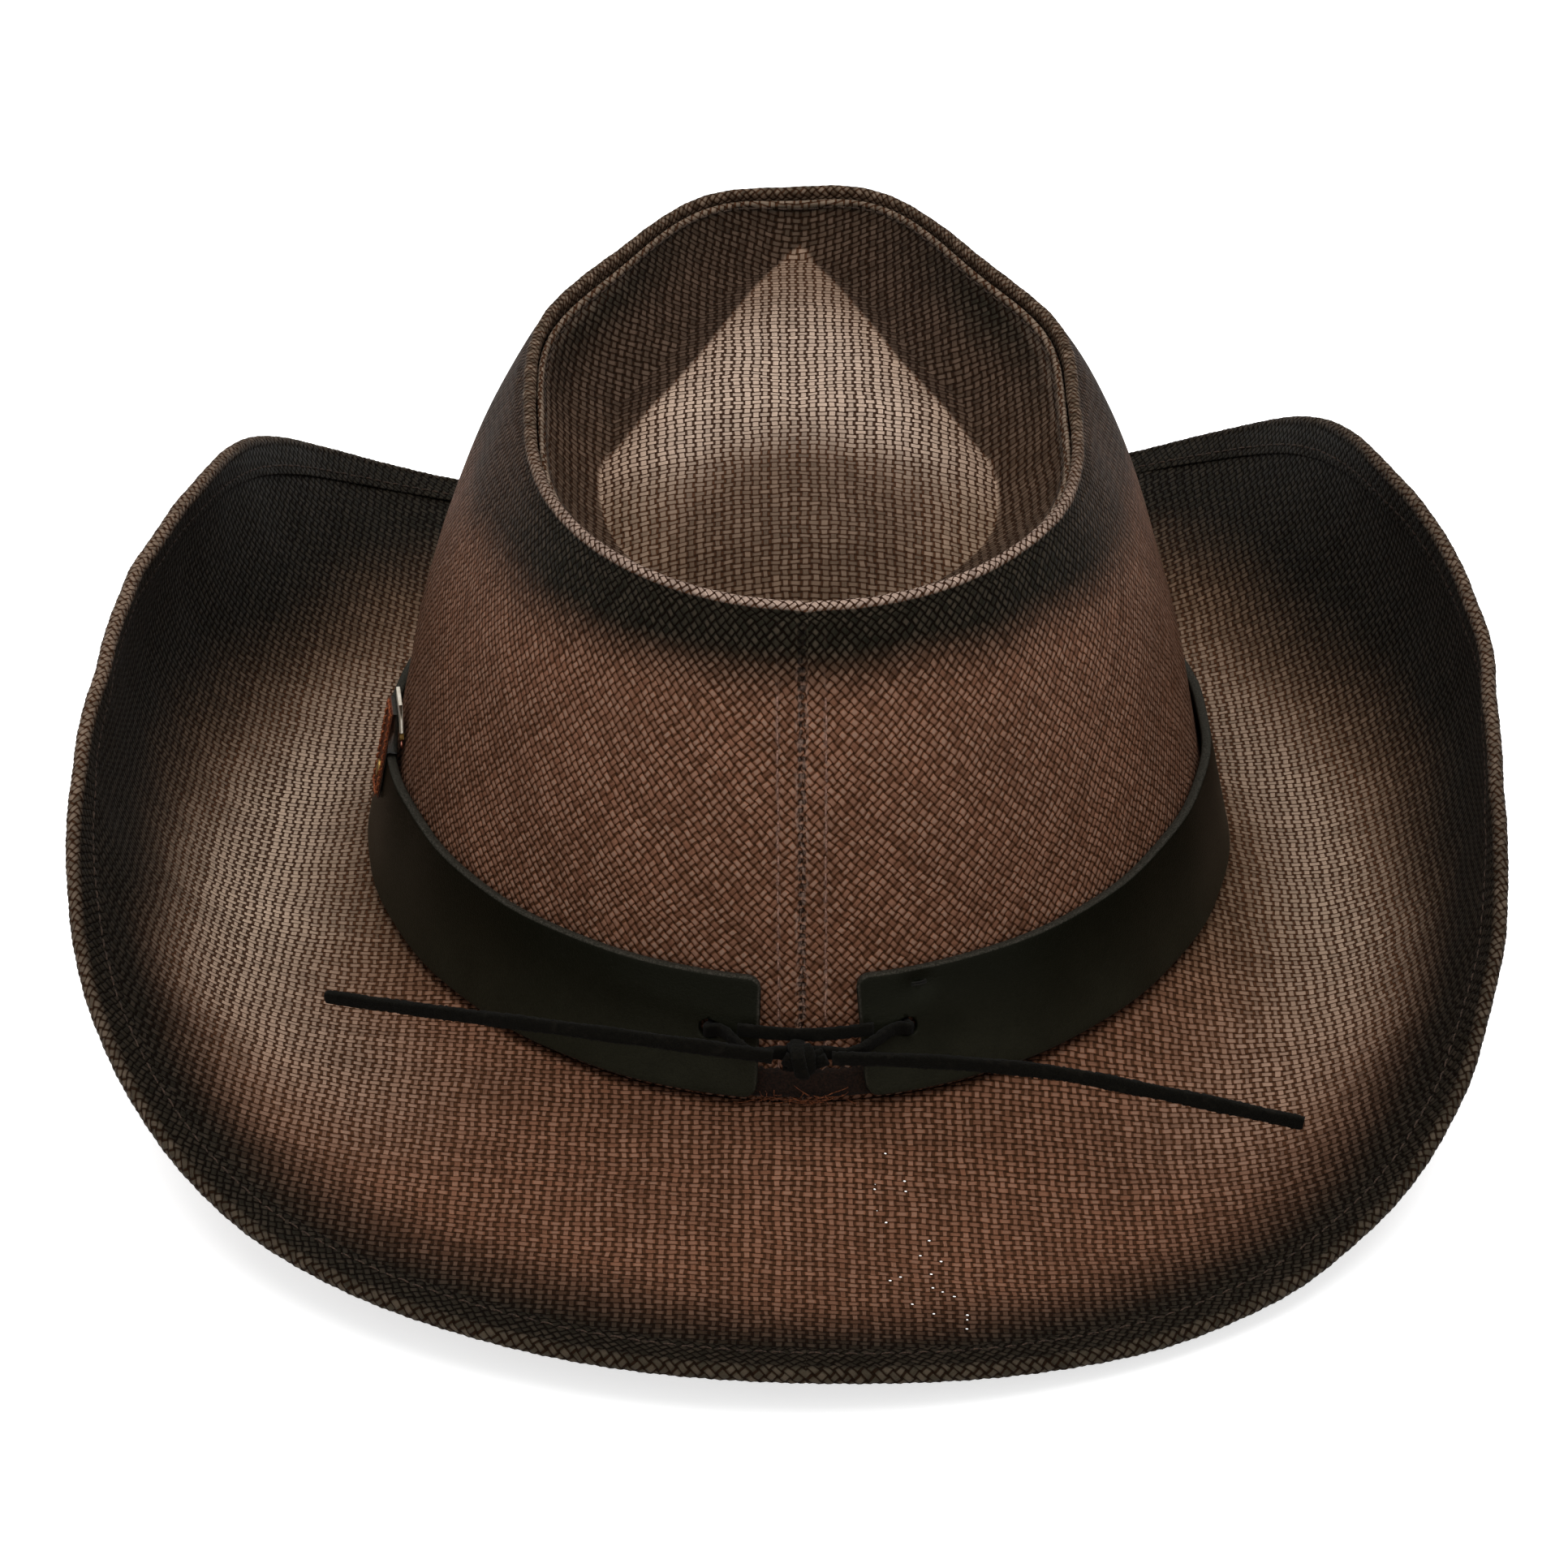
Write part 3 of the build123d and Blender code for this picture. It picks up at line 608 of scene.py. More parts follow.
# ------------------------------------------------------------------ materials
def straw(name, pitch_x, pitch_y, weft=0.84, warp=0.62, groove=1.10, depth=0.42, seam=False,
          pins=False, wobble=0.30, tips=0.38, cell=0.42):
    """Plain weave of flat paper yarn.

    weft, warp: yarn widths as shares of the pitch; groove: brightness between yarns, partly
    painted shade;
    depth: relief in mm; wobble: wander of the yarns; tips: strength of the painted highlight on
    the yarn tops;
    cell: variation between crossings.
    """
    g = Graph(name)
    along, across = g.cloth()
    drift_x = g.flat_noise(along, across, 0.10) - 0.5
    drift_y = g.flat_noise(across, along, 0.13) - 0.5
    x = drift_x.mul_add(wobble * 4, along) / pitch_x
    y = drift_y.mul_add(wobble * 4, across) / pitch_y
    column, row = g.math("FLOOR", x), g.math("FLOOR", y)
    # the second numbers only set each draw apart
    warp_random = g.white(g.vector(column, 3.7))
    weft_random = g.white(g.vector(row, 91.3))
    cell_random = g.white(g.vector(column, row))
    cell_x, cell_y = x - column, y - row
    # distance from the yarn middles, each yarn shifted a little inside its cell
    off_warp = abs(cell_x.mul_add(2.0, warp_random.mul_add(0.16, -1.08)))
    off_weft = abs(cell_y.mul_add(2.0, weft_random.mul_add(0.16, -1.08)))
    odd = g.math("FLOORED_MODULO", column + row, 2.0)
    warp_width = warp_random.mul_add(0.16, warp - 0.08)
    weft_width = weft_random.mul_add(0.14, weft - 0.07)

    def upper(weft_value, warp_value):
        """Value of the yarn on top: weft in even cells, warp in odd ones."""
        return weft_value * (1.0 - odd) + warp_value * odd

    def arch(across_yarn, along_yarn):
        return across_yarn.mul_add(-0.30, 1.0) * (along_yarn * along_yarn).mul_add(-0.50, 1.0)

    in_weft = g.smooth(0.0, 0.26, weft_width - off_weft)
    in_warp = g.smooth(0.0, 0.26, warp_width - off_warp)
    warp_square, weft_square = off_warp * off_warp, off_weft * off_weft
    weft_arch = arch(weft_square, warp_square)
    warp_arch = arch(warp_square, weft_square)
    under = 0.36  # height of the yarn that passes below
    height = upper(g.math("MAXIMUM", in_weft * weft_arch, in_warp * under),
                   g.math("MAXIMUM", in_warp * warp_arch, in_weft * under))
    # fibres run along the yarn that is on top
    fibre = upper(g.flat_noise(along * 0.5, across * 5.0),
                  g.flat_noise(along * 5.0, across * 0.5))
    yarn_random = upper(weft_random, warp_random)
    relief = fibre.mul_add(0.16, height)

    tone = g.attribute("tone", COLOUR)
    vary = ((0.71 - cell / 2) + yarn_random * 0.24) + (cell_random * cell + fibre * 0.62)
    cloud = g.noise(g.place(), scale=0.055, detail=3.0, rough=0.6)
    light = g.scale(tone, vary * cloud.mul_add(0.66, 0.66))
    # painted highlight: the tops of the yarns are painted paler than the sprayed colour
    top = g.smooth(0.80, 0.98, height)
    luma = g.make("VectorMath", {0: tone, 1: LUMA}, "Value", operation="DOT_PRODUCT")
    bright = g.math("MINIMUM", luma / BROWN_LUMA, 1.0)
    pale = g.mix(top * ((cell_random * tips) * bright.mul_add(0.86, 0.14)),
                 light, srgb(132, 112, 98))
    sheen_share = g.smooth(BROWN_LUMA * 1.1, SHEEN_BEIGE_LUMA, luma)
    # between the yarns the darker sprayed colour shows, deepened with painted shade
    dark = g.scale(srgb(58, 35, 21), (bright * groove) * sheen_share.mul_add(-0.42, 1.32))
    raised = g.smooth(0.30, 0.72, height)
    colour = g.mix(raised, dark, pale)
    # painted shade, darkest in the deepest gaps
    colour = g.mix(g.smooth(0.16, 0.03, height) * 0.55, colour, srgb(9, 6, 4))
    if seam:
        # needle holes along the seam, and loose fibres over it and its stitch rows
        place = g.attribute("seam", VECTOR)
        seam_x, seam_height = g.separate(place)[0], g.separate(place)[1]
        off_seam = abs(seam_x)
        line = g.smooth(0.85, 0.35, off_seam)
        hole_share = g.math("FRACT", seam_height / 1.55)
        dot = g.smooth(0.38, 0.18, abs(hole_share - 0.5))
        grain = g.flat_noise(seam_x * 1.4, seam_height * 0.5)
        hole = line * (dot * g.smooth(0.28, 0.5, grain))
        colour = g.mix(hole * 0.92, colour, srgb(12, 7, 5))
        stitched = g.smooth(0.55, 0.15, abs(off_seam - SEAM_ROW))
        fuzz = (g.math("MAXIMUM", g.smooth(1.5, 0.7, off_seam), stitched * 0.8)
                * (g.smooth(0.45, 0.7, grain) * (bright * 0.6)))
        colour = g.mix(fuzz, colour, srgb(150, 122, 108))
        relief = relief - hole * 0.9
    glow = {}
    if pins:
        # painted light through pinholes: glowing white dots at some corners between yarns
        allowed = g.attribute("pin")
        corner_x = g.math("MINIMUM", cell_x, 1.0 - cell_x)
        corner_y = g.math("MINIMUM", cell_y, 1.0 - cell_y)
        spot = corner_x * corner_x + corner_y * corner_y
        chance = g.white(g.vector(g.math("ROUND", x), g.math("ROUND", y), 5.0), "3D")
        pinhole_light = (g.smooth(0.020, 0.009, spot)
               * g.math("GREATER_THAN", allowed * chance, 0.93))
        colour = g.mix(pinhole_light, colour, (0.95, 0.95, 0.93))
        glow = {"Emission_Color": (1, 1, 1, 1), "Emission_Strength": pinhole_light * 0.5}
    return g.done(colour, fibre * 0.22 + 0.50, g.bump(relief, depth),
                  Specular_IOR_Level=raised.mul_add(0.112, 0.028),
                  Specular_Tint=(1.0, 0.93, 0.66, 1.0), Sheen_Weight=0.01,
                  Sheen_Roughness=0.45, Sheen_Tint=(0.9, 0.8, 0.74, 1.0), **glow)


def thread(name, dark, pale, rough=0.62):
    g = Graph(name)
    place = g.place()
    patches = g.noise(place, scale=2.6, detail=3.0)
    fine = g.noise(place, scale=9.0)
    return g.done(g.mix(g.smooth(0.3, 0.75, patches), dark, pale),
                  fine.mul_add(0.2, rough - 0.1), g.bump(fine, 0.12),
                  Sheen_Weight=0.04, Specular_IOR_Level=0.15)


def leather():
    """Dark band leather: pores, scuffs, lighter low down, raw edges."""
    g = Graph("band_leather_mat")
    place = g.place()
    bent = g.make("VectorMath", {0: place, 1: g.noise(place, scale=0.9, output="Color")},
                  operation="ADD")
    cracks = g.make("TexVoronoi", {"Vector": bent, "Scale": 1.55}, "Distance",
                    feature="DISTANCE_TO_EDGE")
    pores = g.smooth(0.0, 0.16, cracks)
    cloud = g.noise(place, scale=0.10, detail=3.0, rough=0.6)
    fine = g.noise(place, scale=3.2, detail=3.0, rough=0.6)
    edge = g.attribute("edge")
    scuff = g.smooth(0.60, 0.80, g.noise(place, scale=0.55, detail=4.0, rough=0.7))
    z = g.make("SeparateXYZ", {0: place}, 2)
    low = g.math("MULTIPLY", g.smooth(27.0, 4.0, z), cloud.mul_add(0.9, 0.35), clamp=True)
    colour = g.mix(low, srgb(6, 8, 3), srgb(36, 36, 27))
    colour = g.mix((1.0 - pores) * 0.35, colour, srgb(8, 8, 6))
    colour = g.mix(scuff * 0.16, colour, srgb(50, 48, 41))
    raw = g.mix(g.smooth(0.35, 0.7, fine), srgb(36, 33, 28), srgb(98, 92, 84))
    colour = g.mix(edge * 0.34, colour, raw)
    rough = (0.36 + fine * 0.16) + (edge * 0.25 + scuff * 0.12)
    return g.done(colour, rough, g.bump(pores * 0.6 + fine * 0.5, 0.055, strength=0.8),
                  Specular_IOR_Level=0.13, Specular_Tint=(1.0, 0.97, 0.75, 1.0),
                  Coat_Weight=0.0)


def suede():
    g = Graph("suede_mat")
    place = g.place()
    nap = g.noise(place, scale=3.4, detail=4.0, rough=0.7)
    cloud = g.noise(place, scale=0.5, detail=3.0)
    colour = g.mix(g.smooth(0.3, 0.75, nap), srgb(5, 4, 2), srgb(18, 16, 10))
    colour = g.mix(g.smooth(0.55, 0.75, cloud) * 0.25, colour, srgb(38, 34, 27))
    return g.done(colour, 0.88, g.bump(nap, 0.30), Sheen_Weight=0.03, Sheen_Roughness=0.5,
                  Specular_IOR_Level=0.06)


def patch_leather():
    g = Graph("patch_leather_mat")
    place = g.place()
    grain = g.noise(place, scale=1.6, detail=4.0, rough=0.65)
    edge = g.attribute("edge")
    colour = g.mix(g.smooth(0.3, 0.75, grain), srgb(15, 13, 8), srgb(44, 38, 26))
    raw = g.mix(g.smooth(0.35, 0.7, g.noise(place, scale=3.5, detail=3.0)),
                srgb(74, 30, 14), srgb(150, 78, 44))
    return g.done(g.mix(edge, colour, raw), grain.mul_add(0.25, 0.45), g.bump(grain, 0.22),
                  Specular_IOR_Level=0.35)


def metal(name, bright, dull, rough):
    g = Graph(name)
    place = g.place()
    stain = g.noise(place, scale=1.1, detail=4.0, rough=0.7)
    fine = g.noise(place, scale=6.0)
    return g.done(g.mix(g.smooth(0.4, 0.75, stain), bright, dull),
                  fine.mul_add(0.22, rough - 0.08), g.bump(fine, 0.03), Metallic=1.0)


def plate():
    g = Graph("plate_mat")
    place = g.place()
    cloud = g.noise(place, scale=0.35, detail=4.0, rough=0.6)
    fine = g.noise(place, scale=4.0)
    colour = g.mix(g.smooth(0.35, 0.72, cloud), srgb(232, 224, 208), srgb(198, 186, 166))
    return g.done(colour, fine.mul_add(0.12, 0.20), g.bump(cloud, 0.08), Coat_Weight=0.3)


def sweatband_cloth():
    """Ribs with loops, each row of loops set half a step on."""
    rib_pitch, loop_pitch, row_shift = 1.3, 1.0, 1.57
    g = Graph("sweatband_mat")
    along, across = g.cloth()
    rib = abs(g.math("SINE", across * (math.pi / rib_pitch)))
    shift = g.math("FLOOR", across / rib_pitch) * row_shift
    loop = abs(g.math("SINE", along * (math.pi / loop_pitch) + shift))
    height = rib * loop.mul_add(0.6, 0.4)
    fuzz = g.noise(g.place(), scale=2.5, detail=3.0)
    # painted shade: darker down between the ribs and loops
    colour = g.mix(height, srgb(20, 18, 17), srgb(66, 61, 58))
    colour = g.mix(fuzz * 0.4, colour, srgb(40, 37, 35))
    return g.done(colour, 0.9, g.bump(fuzz.mul_add(0.3, height), 0.35), Sheen_Weight=0.4,
                  Specular_IOR_Level=0.15)


def label():
    g = Graph("label_mat")
    ribs = [abs(g.math("SINE", place * (math.pi / 0.42))) for place in g.cloth()]
    height = g.math("MAXIMUM", *ribs)
    border = g.attribute("edge")
    # painted shade: darker down between the ribs
    colour = g.mix(height, srgb(186, 180, 168), srgb(226, 221, 210))
    colour = g.mix(border, colour, srgb(120, 104, 90))
    return g.done(colour, 0.7, g.bump(height, 0.10), Sheen_Weight=0.3)


BRIM_STRAW = straw("straw_brim_mat", 1.85, 1.62, pins=True)
TIP_STRAW = straw("straw_tip_mat", 1.85, 1.45, weft=0.80, warp=0.72)
SIDE_STRAW = straw("straw_side_mat", 1.40, 1.40, weft=0.82, warp=0.74, groove=1.22,
                   depth=0.52, seam=True, tips=0.62, cell=0.60, wobble=0.34)
BINDING = straw("binding_mat", 1.75, 1.45, weft=0.82, warp=0.72, groove=0.9, depth=0.30)
THREAD = thread("thread_mat", srgb(96, 66, 54), srgb(158, 122, 106))
DARK_THREAD = thread("thread_dark_mat", srgb(30, 21, 14), srgb(74, 56, 44))
TACK_THREAD = thread("tack_thread_mat", srgb(7, 7, 4), srgb(28, 26, 19))
TAPE = thread("tape_mat", srgb(16, 10, 6), srgb(44, 27, 17), rough=0.8)
TAPE_FIBRE = thread("tape_fibre_mat", srgb(62, 32, 17), srgb(150, 86, 52), rough=0.8)
ORANGE_FIBRE = thread("orange_fibre_mat", srgb(92, 36, 16), srgb(176, 100, 58), rough=0.8)
LEATHER = leather()
SUEDE = suede()
PATCH = patch_leather()
BRASS = metal("brass_mat", srgb(214, 178, 104), srgb(150, 112, 60), rough=0.30)
ROSE = metal("rose_metal_mat", srgb(206, 140, 120), srgb(150, 92, 76), rough=0.34)
STEEL = metal("steel_mat", srgb(178, 180, 182), srgb(120, 122, 126), rough=0.35)
PLATE = plate()
SWEAT = sweatband_cloth()
LABEL = label()


# ------------------------------------------------------------------ crown side
def crown_tone(points, around, climb, ridge_run, roll_turn, outer_count):
    """Colour of the crown side: sprayed wall, painted highlight on the roll, painted shade in
    the seam groove, plain inside.
    """
    roll = slice(outer_count, outer_count + len(roll_turn))
    degrees, turn = off_back(around), np.degrees(roll_turn)
    black_from = table([(0, 0.875), (45, 0.845), (90, 0.80), (140, 0.78), (180, 0.78)], around)
    black = smooth(-0.085, 0.06, climb + 0.012 * undulate(points, 1.0) - black_from)
    tone = mix(BROWN, srgb(100, 66, 48), smooth(30, 100, degrees) * 0.6)
    tone = mix(tone, BLACK, black * (1 - 0.22 * smooth(40, 80, degrees)))
    # painted highlight on the upper turn of the roll, palest at the back, with a corded pattern
    roll_highlight = np.zeros(len(climb))
    roll_highlight[roll] = smooth(-5, 40, turn) * (1 - 0.7 * smooth(140, 185, turn))
    rear = smooth(78, 22, degrees)
    dash = 0.5 + 0.5 * np.sin(TAU * ridge_run / 4.6 + 1.5 * np.sin(ridge_run / 19))
    roll_highlight_tone = mix(srgb(72, 59, 46), srgb(112, 97, 82), smooth(0.45, 0.85, dash) * 0.5)
    tone = mix(tone, mix(roll_highlight_tone, ROLL_HIGHLIGHT, rear), roll_highlight * 0.9)
    # painted shade in the groove at the tip seam, darkest at the back
    tone[:, roll.stop] = mix(srgb(50, 39, 29), srgb(26, 17, 11), rear[:, 0])
    tone[:, roll.stop + 3:] = mix(srgb(96, 66, 50), srgb(70, 52, 40), 0.3)
    return tone


def build_crown_side():
    """Wall, rolled ridge and inner face in one skin, closer meshed at the back seam."""
    angles = np.unique(np.round(np.concatenate([
        np.linspace(0, TAU, 1060, endpoint=False), np.linspace(-0.066, 0.066, 67) % TAU]), 6))
    angles = angles[angles < TAU - 1e-5]
    around = angles[:, None]
    climb = np.concatenate([np.linspace(0, 0.80, 44), np.linspace(0.81, 0.975, 18)])
    outward = np.stack([np.sin(angles), np.cos(angles), 0 * angles], -1)
    ridge, seam = ridge_point(angles), seam_point(angles)

    # outer wall, with the back seam sunk into it and its allowance raised on both sides
    plain = wall_base(around, climb)
    seam_x = np.where(np.abs(wrap(around)) < 0.5, plain[..., 0], 60.0)
    off_seam = np.abs(seam_x)
    lower = smooth(0.995, 0.93, climb)
    off = (0.34 * smooth(5.0, SEAM_ROW, off_seam) * lower
           - 0.55 * np.exp(-(seam_x / 0.55) ** 2)
           - 0.18 * np.exp(-((off_seam - SEAM_ROW) / 0.5) ** 2) * lower)
    wave = (undulate(plain, STRAW_WAVE) * smooth(0, 0.15, climb)
            * (1 - 0.5 * smooth(0.9, 1, climb)))
    wall = wall_point(around, climb, off + wave)

    # rolled ridge, faintly corded
    turn = np.radians(np.linspace(-20, 195, 13))
    ridge_run = path_lengths(close(ridge))[:-1, None]
    centre = ridge - outward * 1.30 - UP * 0.30
    radius = 1.32 * (1 + 0.022 * np.sin(TAU * ridge_run / 1.95 + turn * 1.3)
                     + 0.03 * np.sin(TAU * ridge_run / 7.3))
    dip = 0.35 * np.exp(-((wrap(angles) * ridge[:, 1]) / 1.2) ** 2)
    roll = (centre[:, None] + outward[:, None] * (radius * np.cos(turn))[..., None]
            + UP * (radius * np.sin(turn) - dip[:, None])[..., None])
    ridge_wave = undulate(ridge, 0.22)[:, None, None]
    roll = roll + outward[:, None] * ridge_wave + UP * ridge_wave * 0.5

    # groove at the tip seam, turn under the ridge, inner face
    fold = np.stack([seam + outward * 0.12 - UP * 0.55, seam - UP * 1.5,
                     ridge - UP * (STRAW_T + 0.8) - outward * 1.3], 1)
    descent = np.concatenate([np.linspace(0.965, 0.8, 8), np.linspace(0.74, 0, 16)])
    inner = wall_point(around, descent,
                       -STRAW_T + undulate(wall_base(around, descent), STRAW_WAVE))
    points = np.concatenate([wall, roll, fold, inner], 1)

    full = wall_height(angles)[:, None]
    beyond = np.append((turn - turn[0]) * 1.3, [6.5, 7.2, 8.0])
    cloth_y = np.concatenate([climb * full, full + beyond, descent * full], 1)
    cloth_x = np.append(angles, TAU)[:, None] * 84.0
    # far values keep the seam's marks off everything but the outer wall
    rest = np.ones((len(angles), len(beyond) + len(descent)))
    seam_height = np.concatenate([climb * full, 200 * rest], 1)
    seam_across = np.concatenate([seam_x, 60 * rest], 1)
    all_climb = np.concatenate([climb, np.ones(len(beyond)), descent])
    crown = ring_grid(
        "crown_side", points, bias_uv(cloth_x, close(cloth_y)),
        tone=crown_tone(points, around, all_climb, ridge_run, turn, len(climb)),
        seam=np.stack([seam_across, seam_height, 0 * seam_height], -1))
    finish(crown, SIDE_STRAW, "hat", "straw_crown", "crown_side_panel")


# ------------------------------------------------------------------ crown tip
# (y, half width) of the dish floor's outline in the front half
FLOOR_OUTLINE = [(-75, -4), (-71, -1), (-69, 1.8), (-55.2, 8.0), (-40.1, 13.6),
                 (-24.3, 19.4), (-14.2, 24.5), (-3.3, 31.2), (6.9, 37.6), (12, 39.5)]


def tip_tone(points, around, reach, crease, radius):
    """Colour of the dish: floor pale with painted sheen, wall darker with painted shade and
    black spray, fold at the seam with painted highlight and painted shadow.
    """
    climb = np.clip((reach - crease) / (1 - crease), 0, 1)
    degrees = off_back(around)
    x = np.abs(reach * radius * np.sin(around))
    y = reach * radius * np.cos(around)
    wave = undulate(points, 1.0)
    # painted sheen on the floor, weaker towards the crease and the front point, and gone from
    # the brown patch at the back where the floor slopes down
    floor = mix(DISH_FLOOR_SHEEN, srgb(142, 118, 100), smooth(0.50, 1.0, reach / crease) * 0.85)
    brown = smooth(1.30, 0.52, np.hypot(x / 35.0, (y - 40.0) / 37.0) + wave * 0.06)
    floor = mix(floor, srgb(120, 98, 82), smooth(-24, -62, y) * 0.9)
    floor = mix(floor, srgb(68, 49, 35), brown * 0.90)
    floor = mix(floor, srgb(94, 76, 58), smooth(8, 30, y) * (1 - brown) * 0.85)
    # the wall is painted darker than the floor: painted shade where it turns away from the
    # light, with black spray towards the front
    wall = mix(srgb(66, 49, 37), srgb(52, 37, 28), smooth(60, 120, degrees))
    black = np.exp(-((degrees - 128) / 34.0) ** 2) * smooth(0.35, 0.85, climb)
    wall = mix(wall, BLACK, black * 0.88)
    # painted highlight along the top of the wall, where it turns up to the seam
    border = smooth(0.80, 0.93, climb + 0.02 * wave) * smooth(150, 60, degrees)
    wall = mix(wall, srgb(140, 122, 106), border * 0.9)
    wall = mix(wall, srgb(70, 58, 48),
               smooth(0.84, 0.95, climb) * smooth(80, 150, degrees) * 0.8)
    # in the front half the wall's darker colour, painted shade with black spray, ends on a
    # straight-sided point
    outline = np.interp(y, *zip(*FLOOR_OUTLINE))
    front = smooth(9, 3, y)
    on_wall = (smooth(0.0, 0.05, climb) * (1 - front)
               + smooth(-0.5, 0.9, x - outline + wave * 0.3) * front)
    tone = mix(floor, wall, on_wall)
    # at the seam: painted highlight on the fold at the sides, painted shade in it at the back,
    # and a painted shadow line under the fold
    inset = (1 - reach) * radius
    beside = smooth(40, 88, degrees)
    fold_highlight = srgb(108, 93, 79)
    tone = mix(tone, mix(srgb(24, 16, 11), fold_highlight, beside), smooth(0.95, 0.55, inset))
    tone = mix(tone, fold_highlight, beside * smooth(1.75, 1.45, inset) * 0.9)
    return mix(tone, srgb(20, 13, 8),
               (smooth(1.35, 1.75, inset) * smooth(2.45, 2.05, inset)) * 0.85)


def close_tip(mesh, rings, columns, top_columns):
    """Closes the middle above and below, and the rim."""
    bm = bmesh.new()
    bm.from_mesh(mesh)
    bm.verts.ensure_lookup_table()
    uv_layer = bm.loops.layers.uv["weave"]
    top, bottom, rim_top, rim_bottom = (
        [bm.verts[i * columns + column] for i in range(rings)]
        for column in (top_columns - 1, top_columns, 0, columns - 1))
    # the strip that the grid drew between the two centres is taken out
    strip = [bm.edges.get(pair) for pair in zip(top, bottom)]
    bmesh.ops.delete(bm, geom=strip, context="EDGES")
    for ring in (top, bottom[::-1]):
        face = bm.faces.new(ring)
        face.smooth = True
        for loop in face.loops:
            spot = loop.vert.co
            loop[uv_layer].uv = (spot.x * 1000, spot.y * 1000 - SEAM_Y)
    for i in range(rings):
        k = (i + 1) % rings
        face = bm.faces.new((rim_top[i], rim_top[k], rim_bottom[k], rim_bottom[i]))
        face.smooth = True
    bmesh.ops.recalc_face_normals(bm, faces=bm.faces)
    bm.to_mesh(mesh)
    bm.free()


def build_crown_tip():
    around = np.linspace(0, TAU, 720, endpoint=False)[:, None]
    crease = table(CREASE, around)
    radius = harmonics(SEAM_RADIUS, around)
    rim = 1 - 0.25 / radius
    reach = np.concatenate([rim + (crease - rim) * np.linspace(0, 1, 34),
                            crease * (1 - np.linspace(0, 1, 52)[1:] * 0.985)], 1)
    inset = (1 - reach) * radius
    top = dish_point(around, reach)
    lip = (0.9 * np.exp(-(inset / 1.3 - 0.9) ** 2 * 1.6)
           - 0.9 * np.exp(-(inset / 0.5) ** 2))
    top[..., 2] += lip + undulate(top, 0.35) * smooth(0, 6, inset)
    bottom = dish_point(around, reach[:, ::-3], -1.35)
    bottom[..., 2] += undulate(bottom, 0.3)
    points = np.concatenate([top, bottom], 1)
    # flat cloth coordinates: distance from the middle along the cloth
    steps = np.linalg.norm(np.diff(top[:, ::-1], axis=1), axis=-1)
    run = np.cumsum(np.concatenate([reach[:, -1:] * radius, steps], 1), 1)[:, ::-1]
    run = np.concatenate([run, run[:, ::-3]], 1)
    uv = np.stack([run * np.sin(around), run * np.cos(around)], -1)
    top_tone = tip_tone(top, around, reach, crease, radius)
    under = np.broadcast_to(mix(srgb(96, 68, 52), srgb(80, 58, 45), 0.5), bottom.shape)
    tip = ring_grid("crown_tip", points, close(uv), closed_across=False,
                    tone=np.concatenate([top_tone, under], 1))
    close_tip(tip.data, len(around), points.shape[1], top.shape[1])
    finish(tip, TIP_STRAW, "hat", "straw_tip", "crown_tip_panel")


# ------------------------------------------------------------------ brim
# (degrees from the back, value): strength, middle and width of the painted sheen band, then
# middle and width of the step to the dark edge, partly painted shade; places are shares of the
# brim's width
SHEEN_SIZE = [(0, 0.0), (24, 0.0), (50, 0.58), (75, 0.93), (95, 0.95), (116, 0.66),
              (140, 0.22), (180, 0.08)]
SHEEN_MIDDLE = [(0, 0.45), (50, 0.46), (75, 0.31), (95, 0.21), (120, 0.18), (180, 0.3)]
SHEEN_WIDTH = [(0, 0.26), (50, 0.25), (75, 0.20), (95, 0.17), (120, 0.17), (180, 0.3)]
DARK_MIDDLE = [(0, 0.76), (30, 0.75), (55, 0.67), (80, 0.52), (100, 0.48), (120, 0.43),
               (145, 0.60), (180, 0.78)]
DARK_WIDTH = [(0, 0.15), (55, 0.17), (90, 0.19), (120, 0.20), (180, 0.15)]


def brim_tone(angle, share, points=None):
    """Colour of the brim at a share of its width: painted sheen where it faces up, and a sprayed
    dark edge that is partly painted shade.
    """
    wave = 0.0 if points is None else undulate(points, 1.0) * 0.012
    signed = signed_degrees(angle)
    right = smooth(10, -40, signed)
    place = share + wave
    size = table(SHEEN_SIZE, angle) * (1 - 0.34 * right)
    width = table(SHEEN_WIDTH, angle) * (1 - 0.10 * right)
    # painted sheen: a pale band where the brim faces up, strongest at the sides
    light = size * np.exp(-np.abs((place - table(SHEEN_MIDDLE, angle)) / width) ** 2.2)
    # dark edge: black spray, widened with painted shade where the sides turn up steeply; wider
    # at the right rear
    rear_right = smooth(-12, -34, signed) * smooth(-78, -52, signed)
    dark = smooth(-1, 1, (place - table(DARK_MIDDLE, angle) + 0.05 * rear_right)
                  / (table(DARK_WIDTH, angle) * (1 + 0.18 * rear_right)))
    tone = mix(BRIM_BROWN, srgb(80, 62, 45), smooth(40, 75, np.abs(signed)) * 0.8)
    tone = mix(tone, SHEEN_BEIGE, light * 0.94)
    return mix(tone, srgb(10, 9, 5), dark * 0.98)


